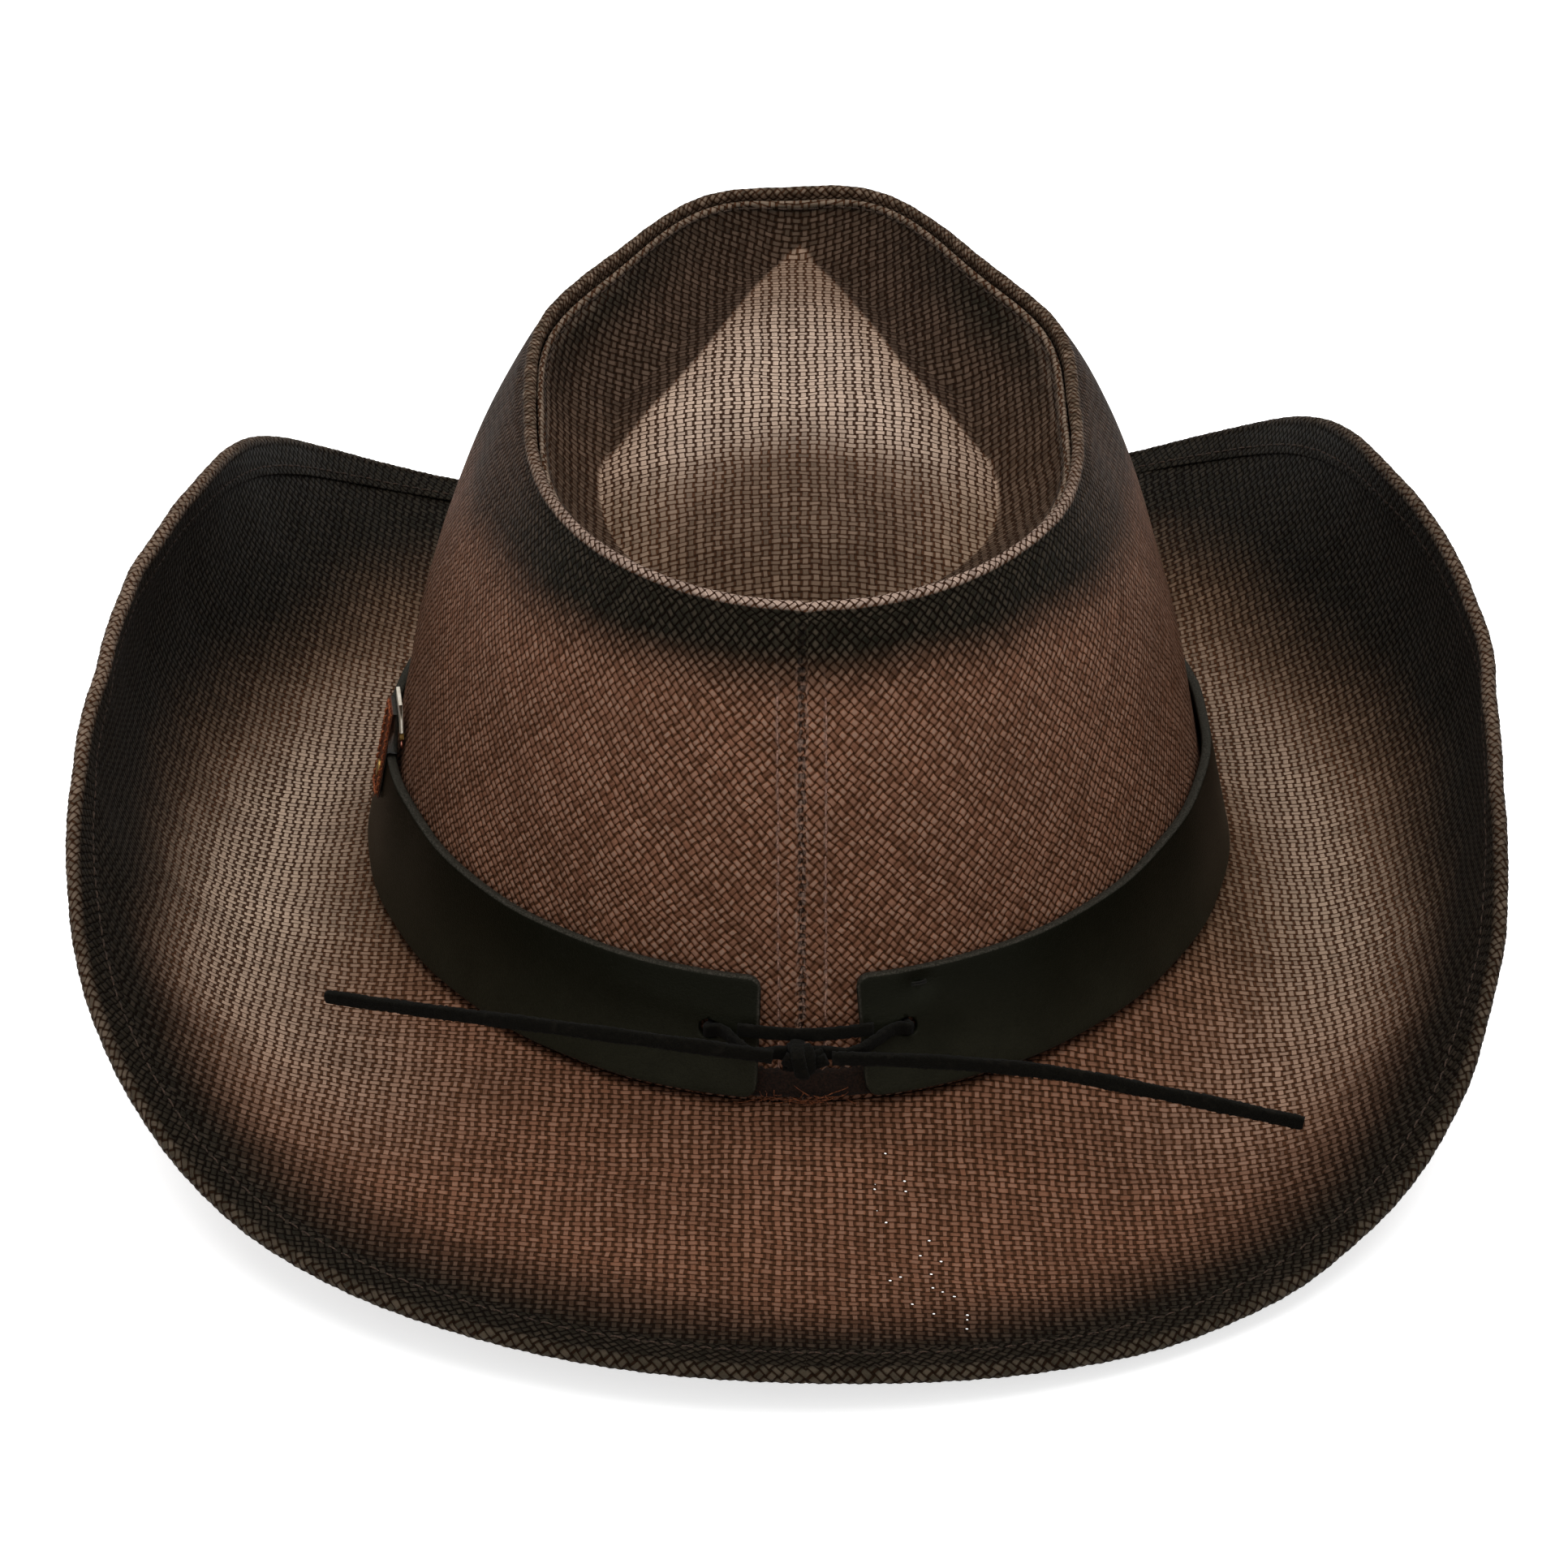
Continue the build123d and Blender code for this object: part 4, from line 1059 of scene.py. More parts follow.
def build_brim():
    start, edge_gap = -1.7, 3.0
    around = np.linspace(0, TAU, 900, endpoint=False)[:, None]
    width = harmonics(BRIM_WIDTH, around)
    reach = start + (width - edge_gap - start) * np.linspace(0, 1, 96)
    wave = undulate(brim_point(around, reach), EDGE_WAVE) * smooth(0, 14, reach)
    top = brim_point(around, reach, wave)
    back_reach = reach[:, ::-2]
    bottom = brim_point(around, back_reach, wave[:, ::-2] - BRIM_T)
    x, y, _, nx, ny = join(around)
    run = np.concatenate([reach, back_reach], 1)
    uv = close(np.stack([x + nx * run, y + ny * run], -1))
    share = np.clip(reach / width, 0, 1)
    top_tone = brim_tone(around, share, top)
    under = mix(brim_tone(around, np.clip(back_reach / width, 0, 1), bottom),
                BRIM_BROWN, 0.55)
    # the painted light through pinholes shows only at the back, a little to the wearer's right
    pin = (smooth(3, 10, reach) * smooth(0.95, 0.82, share)
           * np.exp(-((signed_degrees(around) + 8) / 11.0) ** 2))
    brim = ring_grid("brim_straw", np.concatenate([top, bottom], 1), uv,
                     tone=np.concatenate([top_tone, under], 1),
                     pin=np.concatenate([pin, 0 * back_reach], 1))
    finish(brim, BRIM_STRAW, "hat", "straw_brim", "brim")


# ------------------------------------------------------------------ edge binding
# (out from the brim edge, lift off the binding's inner face), from the roll inwards
BIND_FACE = [(-2.7, 0.44), (-4.0, 0.40), (-5.0, 0.36), (-6.2, 0.32), (-BIND_STITCH_IN, 0.20),
             (-7.6, 0.28), (-8.7, 0.20), (-BIND_W - 0.02, 0.08)]
BIND_LINING = [-BIND_W, -4.6, -1.6]
# painted reflection on the edge cord, strongest at the sides
CORD_HIGHLIGHT = [(0, 0.06), (35, 0.10), (60, 0.34), (85, 0.75), (118, 0.50), (135, 0.20),
             (180, 0.12)]  # (degrees from the back, paleness)


def build_binding():
    """Folded strip whose outermost 3 mm stand proud as a round cord."""
    turn = np.radians(np.linspace(-122, 122, 17))
    lining = ([(out, BIND_GAP) for out in BIND_LINING] + [(-1.05, -BRIM_T / 2)]
              + [(out, BIND_UNDER) for out in BIND_LINING[::-1]])
    under = [(out, BIND_UNDER - lift) for out, lift in BIND_FACE[::-1]]
    cord = [(-1.42 + 1.50 * math.cos(a), -BRIM_T / 2 + 1.56 * math.sin(a)) for a in turn]
    over = [(out, BIND_GAP + lift) for out, lift in BIND_FACE]
    section = np.array(lining + under + cord + over)
    on_cord = slice(len(lining + under), len(lining + under + cord))

    around = np.linspace(0, TAU, 2400, endpoint=False)[:, None]
    width = harmonics(BRIM_WIDTH, around)
    edge = brim_point(around, width)[:, 0]
    run = path_lengths(close(edge))[:, None]
    shape = (len(around), len(section))
    swell, bend = np.zeros(shape), np.zeros(len(section))
    bend[on_cord] = turn
    swell[:, on_cord] = (0.075 * np.sin(TAU * run[:-1] / 1.7 + turn * 1.15)
                         + 0.04 * np.sin(TAU * run[:-1] / 6.1 + turn) - 0.05)
    wave = undulate(edge, EDGE_WAVE)[:, None]
    points = brim_point(around, width + section[:, 0] + swell * np.cos(bend),
                        section[:, 1] + swell * np.sin(bend) + wave)

    cordness = np.zeros(len(section))
    cordness[on_cord] = smooth(0, 1, 1 - np.abs(np.degrees(turn)) / 140)
    tone = brim_tone(around, np.clip((width + section[:, 0]) / width, 0, 1))
    tone = mix(tone, srgb(17, 14, 8), 0.40)
    # the outer turn of the cord takes the painted reflection
    right = smooth(10, -30, signed_degrees(around))
    cord_highlight_tone = mix(srgb(30, 26, 18), srgb(128, 108, 92),
                    table(CORD_HIGHLIGHT, around) * (1 - 0.45 * right))
    tone = mix(tone, cord_highlight_tone, cordness)
    # painted shade along both inner edges, where the binding meets the brim
    tone[:, 0] = tone[:, 1] * 0.6
    tone[:, -1] = tone[:, -2] * 0.7
    binding = ring_grid("brim_binding", points, bias_uv(run, path_lengths(section)), tone=tone)
    finish(binding, BINDING, "hat", "binding", "brim_edge_binding")


def build_binding_stitches():
    angles = np.linspace(0, TAU, 1800)
    width = harmonics(BRIM_WIDTH, angles)
    wave = undulate(brim_point(angles, width), EDGE_WAVE)
    reach = width - BIND_STITCH_IN
    for name, lift, sign, nodes in (
            ("binding_stitches_top", BIND_GAP + 0.18, 1, ["brim_binding_stitches"]),
            ("binding_stitches_under", BIND_UNDER - 0.18, -1, [])):
        normals = sign * unit(brim_point(angles, reach, lift + 1)
                              - brim_point(angles, reach, lift))
        row = stitch_row(name, brim_point(angles, reach, lift + wave), normals,
                         length=2.6, width=0.42, rise=0.16, gap=0.45)
        finish(row, DARK_THREAD, "hat", "thread_brown", *nodes)


# ------------------------------------------------------------------ seams of the crown
def build_tip_stitches():
    angles = np.linspace(0, TAU, 1500)
    reach = 1 - 1.75 / harmonics(SEAM_RADIUS, angles)
    points = dish_point(angles, reach, 0.35)
    normals = unit(np.cross(dish_point(angles, reach - STEP) - points,
                            dish_point(angles + STEP, reach)
                            - dish_point(angles - STEP, reach)))
    normals = normals * np.sign(normals[:, 2:3])
    row = stitch_row("tip_stitches", points, normals, length=2.7, width=0.40, rise=0.30,
                     gap=0.5)
    finish(row, DARK_THREAD, "hat", "thread_brown", "tip_seam_stitches")


def angle_at_x(heights, x):
    """Angle near the back where the wall has this x, by bisection."""
    low, high = np.full(heights.shape, -0.3), np.full(heights.shape, 0.3)
    for _ in range(40):
        middle = (low + high) / 2
        below = wall_at(middle, heights)[..., 0] < x
        low, high = np.where(below, middle, low), np.where(below, high, middle)
    return low


def build_back_seam_stitches():
    heights = np.linspace(2.0, 0.84 * float(wall_height(0.0)), 400)
    for side, x, nodes in (("left", SEAM_ROW, ["back_seam_stitches"]),
                           ("right", -SEAM_ROW, [])):
        angles = angle_at_x(heights, x)
        normals = normal_at(angles, heights)
        wave = undulate(wall_at(angles, heights), STRAW_WAVE)[:, None]
        points = wall_at(angles, heights, 0.22) + normals * wave
        row = stitch_row(f"back_seam_{side}_row", points, normals, length=2.5, width=0.36,
                         rise=0.20, gap=0.75)
        finish(row, THREAD, "hat", "thread_brown", *nodes)


def build_seam_tape():
    """Frayed tape at the foot of the crown, with loose fibres at the back."""
    angles = np.linspace(0, TAU, 720, endpoint=False)
    around = angles[:, None]
    turn = np.linspace(0, TAU, 14, endpoint=False)
    height = 3.7 + 2.7 * np.clip(np.sin(turn) * 1.3, -1, 1)
    off = 0.45 + 0.22 * np.clip(np.cos(turn) * 1.3, -1, 1)
    fray = 0.5 * np.sin(around * 311) * np.sin(around * 97)
    points = wall_at(around, height + fray * (height > 4), off)
    uv = flat_uv(np.append(angles, TAU)[:, None] * 95, height)
    finish(ring_grid("seam_tape", points, uv), TAPE, "hat", "seam_tape",
           "crown_brim_seam_tape")

    fibres = []
    share = np.linspace(0, 1, 7)
    for _ in range(34):
        angle = RNG.uniform(-0.105, 0.095)
        foot = RNG.uniform(0.0, 1.5)
        drift = RNG.normal() * 0.035
        curl = RNG.normal(size=3) * 0.8
        climb = RNG.normal() * 1.4
        arch = np.sin(np.pi * share * RNG.uniform(0.6, 1.0)) * RNG.uniform(0.3, 1.0)
        path = wall_at(angle + drift * share, foot + climb * share, 0.5 + 1.3 * arch)
        path = path + np.sin(share * 5 + curl[0])[:, None] * curl * 0.22
        # kept above the brim
        path[:, 2] = np.maximum(path[:, 2], 0.5 + path[:, 2] * 0.12)
        fibres.append(sweep(path, 0.15, 0.12, UP, sides=5))
    finish(tube_mesh("seam_tape_fibres", fibres), TAPE_FIBRE, "hat", "seam_tape")


# ------------------------------------------------------------------ sweatband
def build_sweatband():
    inner = SWEAT_OFF - SWEAT_T
    # (height, offset from the wall): ribbed face, lower edge, side to the wall, upper edge
    section = [(h, inner - 0.08 * abs(math.sin(h * 1.2)))
               for h in np.linspace(SWEAT_H, -1.2, 30)]
    section += [(-1.5, SWEAT_OFF - SWEAT_T * 0.75), (-1.6, SWEAT_OFF - SWEAT_T * 0.4),
                (-1.4, SWEAT_OFF - 0.1)]
    section += [(h, SWEAT_OFF - 0.02) for h in np.linspace(0, SWEAT_H, 12)]
    section += [(SWEAT_H + 0.25, SWEAT_OFF - SWEAT_T * 0.3),
                (SWEAT_H + 0.3, SWEAT_OFF - SWEAT_T * 0.7)]
    height, off = np.array(section).T
    angles = np.linspace(0, TAU, 540, endpoint=False)
    around = angles[:, None]
    ripple = 0.15 * np.abs(np.sin(around * 23) * smooth(4, 20, height))
    uv = flat_uv(np.append(angles, TAU)[:, None] * 93, path_lengths(section))
    cloth = ring_grid("sweatband_cloth", wall_at(around, height, off - ripple), uv)
    finish(cloth, SWEAT, "hat", "sweatband", "sweatband")

    stitch_h = 0.7
    angles = np.linspace(0, TAU, 1200)
    row = stitch_row("sweatband_thread", wall_at(angles, stitch_h, inner - 0.12),
                     -normal_at(angles, stitch_h), length=2.8, width=0.42, rise=0.18, gap=0.5)
    finish(row, DARK_THREAD, "hat", "thread_brown", "sweatband_stitches")


def build_size_tab():
    """Blank cloth tab on the sweatband at the back."""
    around = np.linspace(-0.10, 0.10, 30)[:, None]
    # (height, offset)
    section = ([(7.0, 0.15), (7.3, 0.0)] + [(h, 0.0) for h in np.linspace(8, 18, 9)]
               + [(18.7, 0.0), (19.0, 0.15), (18.7, 0.42)]
               + [(h, 0.42) for h in np.linspace(18, 8, 5)] + [(7.3, 0.42)])
    height, off = np.array(section).T
    points = wall_at(around, height, SWEAT_OFF - SWEAT_T - 0.72 + off)
    edge = np.clip(smooth(8.4, 7.9, height) + smooth(17.6, 18.1, height)
                   + smooth(0.088, 0.092, np.abs(around)), 0, 1)
    tab = ring_grid("size_tab_cloth", points, flat_uv(around * 93, height),
                    closed_round=False, edge=edge)
    finish(tab, LABEL, "hat", "label", "size_tab")


# ------------------------------------------------------------------ hatband
def wall_frame(angle, height, off):
    """Point on the wall, and its directions to smaller angles, up and out."""
    normal = normal_at(angle, height)
    along = wall_at(angle - STEP, height) - wall_at(angle + STEP, height)
    along = unit(along - normal * (along @ normal))
    return wall_at(angle, height, off), along, np.cross(normal, along), normal


def band_section():
    """(place across -1..1, inset from the edge, offset): outer face, edges, inner face."""
    corner = [(BAND_BEVEL * (1 - math.sin(a)), BAND_T - BAND_BEVEL * (1 - math.cos(a)))
              for a in np.radians([22.5, 45, 67.5])]
    corner += [(0.0, BAND_T - BAND_BEVEL), (0.0, 0.4), (0.3, 0.0)]
    return np.array([(v, BAND_BEVEL, BAND_T) for v in np.linspace(-1, 1, 30)]
                    + [(1, *place) for place in corner]
                    + [(v, 0.3, 0.0) for v in np.linspace(1, -1, 12)[1:-1]]
                    + [(-1, *place) for place in corner[::-1]])


def cut_hole(band, angle):
    centre, along, up, normal = wall_frame(angle, HOLE_H, 0.0)
    turn = np.linspace(0, TAU, 32, endpoint=False)[:, None]
    ring = (np.cos(turn) * along + np.sin(turn) * up) * BAND_HOLE_R * 0.96
    cutter = tube_mesh("cut", [np.stack([centre + ring + normal * z for z in (-6, 9)])])
    modifier = band.modifiers.new("cut", "BOOLEAN")
    modifier.operation = "DIFFERENCE"
    modifier.solver = "EXACT"
    modifier.object = cutter
    bpy.context.view_layer.update()
    depsgraph = bpy.context.evaluated_depsgraph_get()
    mesh = bpy.data.meshes.new_from_object(band.evaluated_get(depsgraph))
    band.modifiers.clear()
    band.data = mesh
    bpy.data.objects.remove(cutter)


def build_hatband():
    """Leather strap round the crown, open at the back."""
    # shares of the length, closer together at both ends for the rounded corners
    end = np.concatenate([BAND_CORNER * (1 - np.cos(np.linspace(0, math.pi / 2, 10))),
                          np.linspace(BAND_CORNER, 45, 60)[1:]]) / BAND_LENGTH
    share = np.concatenate([end, np.linspace(end[-1], 1 - end[-1], 900)[1:-1],
                            1 - end[::-1]])[:, None]
    across, inset, off = band_section().T
    from_end = np.minimum(share, 1 - share) * BAND_LENGTH
    arc = np.sqrt(np.maximum(BAND_CORNER ** 2 - (BAND_CORNER - from_end) ** 2, 0))
    cut = np.where(from_end < BAND_CORNER, BAND_CORNER - arc, 0.0)
    low, high = BAND_H0 + cut, BAND_H0 + BAND_H - cut
    height = (low + high) / 2 + across * ((high - low) / 2 - inset)
    climb = (height - BAND_H0) / BAND_H
    left, right = (low_end + (top_end - low_end) * climb
                   for low_end, top_end in zip(END_LOW, END_TOP))
    angle = left + (TAU + right - left) * share
    # rounding of the cut ends, pull of the tack, and the slow wave of a worn strap
    rounding = np.where(from_end < 0.8, 0.25 * (1 - from_end / 0.8), 0) * (off - BAND_T / 2)
    dimple = 0.75 * np.exp(-(((wrap(angle) - TACK_ANGLE) * BAND_RADIUS / 3.2) ** 2
                             + ((height - TACK_H) / 2.4) ** 2))
    wave = 0.22 * np.sin(angle * 9 + 1.0) * climb + 0.12 * np.sin(angle * 21)
    lean = 0.35 * smooth(0.25, 1, climb) * (0.5 + 0.5 * np.sin(angle * 2 + 0.6))
    flare = 0.15 * np.exp(-from_end / 6.0)
    points = wall_at(angle, height, BAND_GAP + off - rounding - dimple * (off > 0.5)
                     + np.maximum(wave, -0.3) + lean + flare)
    edge = np.isclose(inset, 0) | ((inset < BAND_BEVEL - 0.05) & (off > 0.5))
    edge = np.maximum(edge, (from_end < 0.4) * 0.8) * (0.6 + 0.4 * (across > 0))
    band = ring_grid("hatband_leather", points, flat_uv(angle * BAND_RADIUS, height),
                     closed_round=False, edge=edge)
    for hole_angle in HOLE_ANGLES:
        cut_hole(band, hole_angle)
    band.data.name = "hatband_leather"
    finish(band, LEATHER, "band", "band_leather", "hatband")


def build_tack():
    """Two threads that pull the band in."""
    centre, along, up, normal = wall_frame(TACK_ANGLE, TACK_H, BAND_GAP + BAND_T)
    share = np.linspace(-1, 1, 9)[:, None]
    threads = []
    for rise in (-0.22, 0.22):
        path = (centre + along * (share * 1.5) + up * (rise + 0.06 * share)
                + normal * (0.05 - 0.75 + 0.55 * np.cos(share * 1.4)))
        threads.append(sweep(path, 0.42, 0.34, up, sides=8))
    finish(tube_mesh("tack_stitch", threads), TACK_THREAD, "band", "thread_brown",
           "hatband_tack_stitch")


# ------------------------------------------------------------------ lace
def spline(points, count):
    """Catmull-Rom path through points, sampled evenly."""
    points = np.asarray(points, float)
    knots = np.concatenate([2 * points[:1] - points[1:2], points,
                            2 * points[-1:] - points[-2:-1]])
    share = np.linspace(0, 1, 24, endpoint=False)[:, None]
    pieces = []
    for i in range(1, len(knots) - 2):
        before, start, end, after = knots[i - 1:i + 3]
        pieces.append(0.5 * (2 * start + (end - before) * share
                             + (2 * before - 5 * start + 4 * end - after) * share ** 2
                             + (-before + 3 * start - 3 * end + after) * share ** 3))
    dense = np.concatenate(pieces + [points[-1:]])
    lengths = path_lengths(dense)
    return resample(dense, lengths, np.linspace(0, lengths[-1], count))


def suede_cord(path, width, thick, side, seed):
    """Flat cord with a rough surface."""
    skin = sweep(path, width, thick, side, sides=18, power=3.4)
    noise = np.random.default_rng(seed).normal(size=skin.shape[:2]) * 0.07
    return skin + unit(skin - path[:, None]) * noise[..., None]


def build_lace_tails():
    for side, stations, seed in (("left", LEFT_PATH, 3), ("right", RIGHT_PATH, 8)):
        count = int(path_lengths(stations)[-1] / 0.45)
        share = np.linspace(0, 1, count)
        twist = np.stack([0.10 * np.sin(share * 7 + seed), 0.25 * np.sin(share * 5 + seed),
                          1 + 0 * share], 1)
        width = 2.7 * (1 + 0.05 * np.sin(share * 31 + seed))
        width[-3:] *= [0.98, 0.93, 0.80]
        thick = 1.55 * (1 + 0.06 * np.sin(share * 23))
        cord = suede_cord(spline(stations, count), width, thick, twist, seed)
        finish(tube_mesh(f"lace_tail_{side}", [cord]), SUEDE, f"lace_{side}", "suede",
               f"lace_{side}_tail")


def build_lace_strands():
    """Lace from the holes to the knot, and a strand nearer the crown across the gap."""
    cords = []
    for angle, sign, seed in zip(HOLE_ANGLES, (1, -1), (21, 22)):
        hole, _, _, normal = wall_frame(angle, HOLE_H, BAND_GAP + BAND_T)
        outside = hole + normal * 1.15
        path = [hole - normal * (BAND_T + 0.1), hole - normal * 0.6, outside,
                outside + (-sign * 3.0, 0.5, 0.1), KNOT + (sign * 9.5, -0.6, 0.6),
                KNOT + (sign * 4.2, -0.9, 0.5), KNOT + (sign * 0.6, -1.2, 0.3)]
        cords.append(suede_cord(spline(path, 60), 2.6, 1.4, (0, 0.15, 1.0), seed))
    path = [(11.8, 104.6, 16.6), (6, 105.5, 16.4), (0, 105.9, 16.2), (-6, 105.6, 16.3),
            (-13.0, 104.2, 16.5)]
    cords.append(suede_cord(spline(path, 50), 2.5, 1.2, UP, seed=31))
    finish(tube_mesh("lace_strands_suede", cords), SUEDE, "band", "suede", "lace_strands")


# cords over the knot: (path from the knot's middle, samples, width, thickness, side, seed)
KNOT_CORDS = [
    ([(-3.6, 0.4, 0.9), (-1.5, 1.5, 0.6), (0.9, 2.2, -0.3), (3.4, 1.6, 0.8)],
     40, 2.5, 1.3, (0, 0, 1.0), 42),
    ([(3.4, 0.9, -0.9), (0.6, 0.6, -1.4), (-2.0, 1.2, -0.6), (-4.4, 1.6, 0.5)],
     40, 2.4, 1.3, (0, 0, 1.0), 43),
    ([(0.9, -0.6, 2.9), (0.9, 2.6, 2.2), (0.5, 3.15, 0.0), (0.0, 2.4, -2.6),
      (-0.2, -0.4, -3.0)], 50, 2.5, 1.15, (1.0, 0.0, 0.15), 44)]


def build_knot():
    turn = np.linspace(0, 1, 90) * TAU * 1.55 - 1.9
    coil = np.stack([1.5 * np.sin(turn * 0.75) + 0.2, 1.9 * np.cos(turn) + 0.4,
                     2.5 * np.sin(turn)], 1) + KNOT
    cords = [suede_cord(coil, 2.3, 1.2, (1.0, 0.1, 0.0), seed=41)]
    for path, count, width, thick, side, seed in KNOT_CORDS:
        cords.append(suede_cord(spline(KNOT + path, count), width, thick, side, seed))
    finish(tube_mesh("lace_knot_suede", cords), SUEDE, "band", "suede", "lace_knot")


# ------------------------------------------------------------------ ornament, wearer's left
# Its own frame: along the band, then a section (out from the band, up)
ORN_CORNERS = [wall_at(angle, 20.0, 3.0) for angle in (ORN_START, ORN_END)]
ORN_CHORD = (ORN_CORNERS[1] - ORN_CORNERS[0])[:2]
ORN_LENGTH = float(np.hypot(*ORN_CHORD))
ORN_ALONG = np.array([*ORN_CHORD, 0.0]) / ORN_LENGTH
ORN_ACROSS = np.array([-ORN_ALONG[1], ORN_ALONG[0], 0.0])
ORN_ORIGIN = np.array([*ORN_CORNERS[0][:2], 0.0])


def ornament_section(height, off):
    point = wall_at((ORN_START + ORN_END) / 2, height, off)
    return np.array([(point - ORN_ORIGIN) @ ORN_ACROSS, point[2]])


def ornament_point(along, section):
    return (ORN_ORIGIN + ORN_ALONG * np.asarray(along)[..., None]
            + ORN_ACROSS * section[..., :1] + UP * section[..., 1:])


def rounded(corners, radius, step=0.22):
    """Closed outline with rounded corners, evenly sampled."""
    corners = np.asarray(corners, float)
    share = np.linspace(0, 1, 6)[:, None]
    bends = []
    for k, corner in enumerate(corners):
        before, after = corners[k - 1] - corner, corners[(k + 1) % len(corners)] - corner
        cut = min(radius, np.linalg.norm(before) * 0.45, np.linalg.norm(after) * 0.45)
        bends.append((1 - share) ** 2 * (corner + unit(before) * cut)
                     + 2 * share * (1 - share) * corner
                     + share ** 2 * (corner + unit(after) * cut))
    outline = close(np.concatenate(bends))
    lengths = path_lengths(outline)
    places = np.linspace(0, lengths[-1], int(lengths[-1] / step), endpoint=False)
    return resample(outline, lengths, places)


def prism(corners, radius, bevel, rough=0.0):
    """Section drawn out along the ornament's length, with softened ends."""
    outline = rounded(corners, radius)
    tangent = unit(np.roll(outline, -1, 0) - np.roll(outline, 1, 0))
    normal = np.stack([tangent[:, 1], -tangent[:, 0]], 1)
    x, y = outline.T
    if np.sum(x * np.roll(y, -1) - np.roll(x, -1) * y) <= 0:
        normal = -normal
    middle = np.linspace(bevel, ORN_LENGTH - bevel, max(3, int(ORN_LENGTH / 0.25)))
    start, inset = np.array([0.0, bevel * 0.3]), [bevel * 0.9, bevel * 0.3]
    depths = np.concatenate([start, middle, ORN_LENGTH - start[::-1]])
    insets = inset + [0.0] * len(middle) + inset[::-1]
    rings = []
    for depth, inward in zip(depths, insets):
        uneven = np.abs(RNG.normal(size=(len(outline), 1))) * rough
        rings.append(ornament_point(depth, outline - normal * (inward + uneven)))
    return np.stack(rings)


# (height, offset from the wall) round the section of the leather tab
TAB = [(15.5, 3.0), (15.5, 3.6), (33.8, 3.6), (33.8, 2.4), (25.3, 1.0), (25.3, 3.0)]
TAB_SECTION = np.array([ornament_section(*place) for place in TAB])
FACE_LOW, FACE_HIGH = TAB_SECTION[1:3]
FACE_H = float(np.linalg.norm(FACE_HIGH - FACE_LOW))
FACE_UP = (FACE_HIGH - FACE_LOW) / FACE_H
FACE_OUT = np.array([FACE_UP[1], -FACE_UP[0]])
FACE_NORMAL = ORN_ACROSS * FACE_OUT[0] + UP * FACE_OUT[1]


def on_face(x, y, z):
    """x along the band from the middle, y up the tab's outer face, z out of it."""
    x, y, z = spread(x, y, z)
    section = (FACE_LOW + FACE_HIGH) / 2 + y[..., None] * FACE_UP + z[..., None] * FACE_OUT
    return ornament_point(ORN_LENGTH / 2 + x, section)


def build_patch():
    points = prism(TAB_SECTION, radius=0.3, bevel=0.15, rough=0.03)
    out = (((points - ORN_ORIGIN) @ ORN_ACROSS - FACE_LOW[0]) * FACE_OUT[0]
           + (points[..., 2] - FACE_LOW[1]) * FACE_OUT[1])
    patch = ring_grid("ornament_patch_leather", points, closed_round=False,
                      edge=smooth(-0.30, -0.12, out) * 0.55)
    finish(patch, PATCH, "band", "patch_leather", "ornament_patch")


def build_patch_stitches():
    """Lacing round the border of the tab, with frayed ends."""
    half = np.array([ORN_LENGTH / 2, FACE_H / 2]) - 0.62
    border = close(rounded(half * [(-1, -1), (1, -1), (1, 1), (-1, 1)], 0.8, step=0.15))
    points = on_face(border[:, 0], border[:, 1], 0.06)
    lacing = stitch_row("ornament_patch_thread", points,
                        np.broadcast_to(FACE_NORMAL, points.shape), length=1.5, width=0.55,
                        rise=0.30, sink=0.1, gap=0.12, tilt=0.45)
    hairs = []
    share = np.linspace(0, 1, 6)
    for _ in range(520):
        root = border[int(RNG.integers(0, len(border) - 1))]
        away = unit(root / half ** 3)
        out = share * RNG.uniform(0.15, 0.62)
        sway = share * (RNG.normal() * 0.35)
        lift = 0.10 + RNG.uniform(0, 0.28) + share * RNG.normal() * 0.12
        path = on_face(root[0] + away[0] * out - away[1] * sway,
                       root[1] + away[1] * out + away[0] * sway, lift)
        taper = 1.25 - share
        hairs.append(sweep(path, 0.13 * taper, 0.11 * taper, FACE_NORMAL, sides=5))
    fray = tube_mesh("ornament_patch_fray", hairs)
    finish(lacing, ORANGE_FIBRE, "band", "thread_orange", "ornament_patch_stitches")
    finish(fray, ORANGE_FIBRE, "band", "thread_orange")


def build_plate():
    """Ivory plate standing above the tab."""
    inner, thick = float(ornament_section(29.9, 0.6)[0]), 0.8
    low, high = 35.4, 41.8
    section = [(inner, low), (inner + thick, low), (inner + thick, high), (inner, high)]
    enamel = ring_grid("ornament_plate_enamel", prism(section, radius=0.16, bevel=0.12),
                       closed_round=False)
    finish(enamel, PLATE, "band", "plate", "ornament_plate")


# ------------------------------------------------------------------ pieces kept as loaded
def dress_metal_parts():
    # name, material, slot, smooth shading, bevelled
    for name, material, slot, is_smooth, bevelled in (
            ("brim_wire", STEEL, "steel_wire", True, False),
            ("ornament_end_cap", BRASS, "brass", False, True),
            ("ornament_loop", ROSE, "brass", True, False),
            ("ornament_rivet", BRASS, "brass", True, True)):
        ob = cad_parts[name]
        ob.data.materials.clear()
        ob.data.materials.append(material)
        for polygon in ob.data.polygons:
            polygon.use_smooth = is_smooth
        if bevelled:
            bevel = ob.modifiers.new("bevel", "BEVEL")
            bevel.width = 0.18 * MM
            bevel.segments = 3
            bevel.limit_method = "ANGLE"
            bevel.angle_limit = math.radians(40)


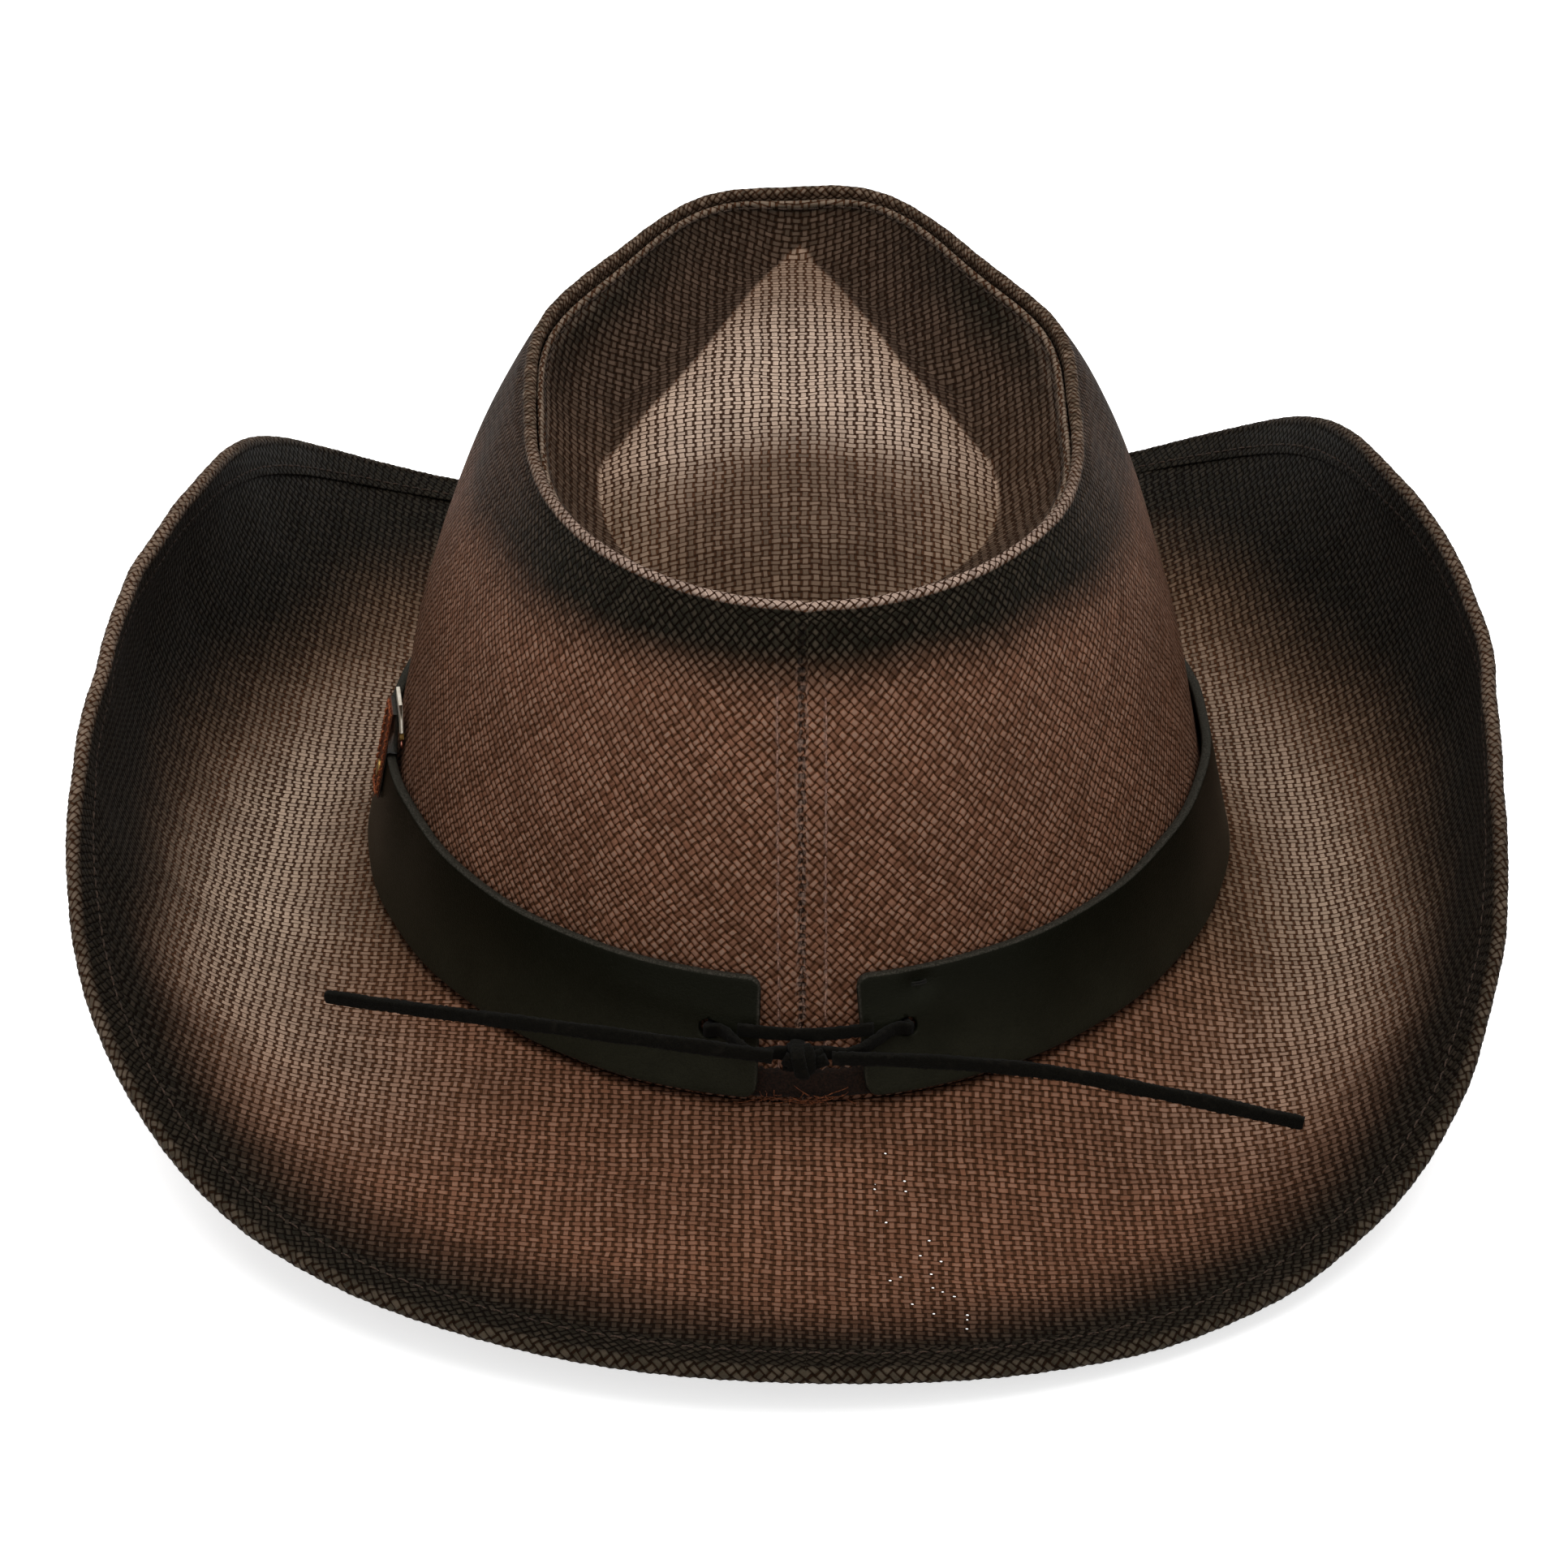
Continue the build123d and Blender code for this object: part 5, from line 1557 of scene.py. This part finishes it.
# ------------------------------------------------------------------ floor, light, camera (m)
def build_floor():
    z = CAD_LO.z - 0.0006
    half = 12.0
    mesh = bpy.data.meshes.new("floor")
    mesh.from_pydata([(-half, -half, z), (half, -half, z), (half, half, z), (-half, half, z)],
                     [], [(0, 1, 2, 3)])
    floor = bpy.data.objects.new("floor", mesh)
    bpy.context.scene.collection.objects.link(floor)
    g = Graph("floor_mat")
    cloud = g.noise(g.place(), scale=0.004)
    # the glow is seen by the camera only
    seen = g.make("LightPath", {}, "Is Camera Ray")
    floor.data.materials.append(g.done(
        g.mix(cloud, (0.93, 0.93, 0.93), (0.95, 0.95, 0.95)), 0.95, Specular_IOR_Level=0.0,
        Emission_Color=(1, 1, 1, 1), Emission_Strength=seen * 0.66))


def build_world():
    world = bpy.data.worlds.new("studio")
    bpy.context.scene.world = world
    world.use_nodes = True
    background = world.node_tree.nodes["Background"]
    background.inputs["Color"].default_value = (1.0, 1.0, 1.0, 1.0)
    background.inputs["Strength"].default_value = 0.34


def add_sun(name, direction, strength, spread_degrees):
    light = bpy.data.lights.new(name, "SUN")
    light.energy = strength
    light.angle = math.radians(spread_degrees)
    ob = bpy.data.objects.new(name, light)
    ob.rotation_mode = "QUATERNION"
    ob.rotation_quaternion = (-Vector(direction)).to_track_quat("-Z", "Y")
    ob.location = Vector(direction) * 2
    bpy.context.scene.collection.objects.link(ob)


def add_camera():
    """Camera behind and above the hat."""
    elevation, turn = 0.43232, 0.00669  # radians
    distance, target = 0.900, Vector((0, 0, 0.040))
    sensor, lens = 36.0, 102.897391     # mm
    # the view axis passes beside the target, by mm at the distance of the lens
    aside, above = -0.33182609, -2.5732733
    back = Vector((0, math.cos(elevation), math.sin(elevation)))
    right = Vector((-1, 0, 0))
    up = Vector((0, -math.sin(elevation), math.cos(elevation)))
    aim = -back * lens + right * aside + up * above
    yaw = Matrix.Rotation(-turn, 3, "Z")
    camera = bpy.data.objects.new("camera", bpy.data.cameras.new("camera"))
    scene = bpy.context.scene
    scene.collection.objects.link(camera)
    camera.location = yaw @ (target + back * distance)
    z_axis = -(yaw @ aim).normalized()
    x_axis = (yaw @ up).cross(z_axis).normalized()
    axes = Matrix((x_axis, z_axis.cross(x_axis), z_axis)).transposed()
    camera.rotation_mode = "QUATERNION"
    camera.rotation_quaternion = axes.to_quaternion()
    camera.data.sensor_width = sensor
    camera.data.lens = lens
    camera.data.clip_start = 0.01
    camera.data.clip_end = 50
    scene.camera = camera
    scene.view_settings.view_transform = "Standard"
    scene.view_settings.look = "None"


# The order matters: the stitches, fibres and prisms share one stream of random numbers
for build in (build_crown_side, build_crown_tip, build_brim, build_binding,
              build_binding_stitches, build_tip_stitches, build_back_seam_stitches,
              build_seam_tape, build_sweatband, build_size_tab, build_hatband, build_tack,
              build_lace_tails, build_lace_strands, build_knot, build_patch,
              build_patch_stitches, build_plate, dress_metal_parts, build_floor, build_world):
    build()
add_sun("key", direction=(0.0, 0.05, 1.0), strength=2.20, spread_degrees=60)
add_sun("fill_rear", direction=(0.05, 0.92, 0.40), strength=0.85, spread_degrees=80)
add_camera()
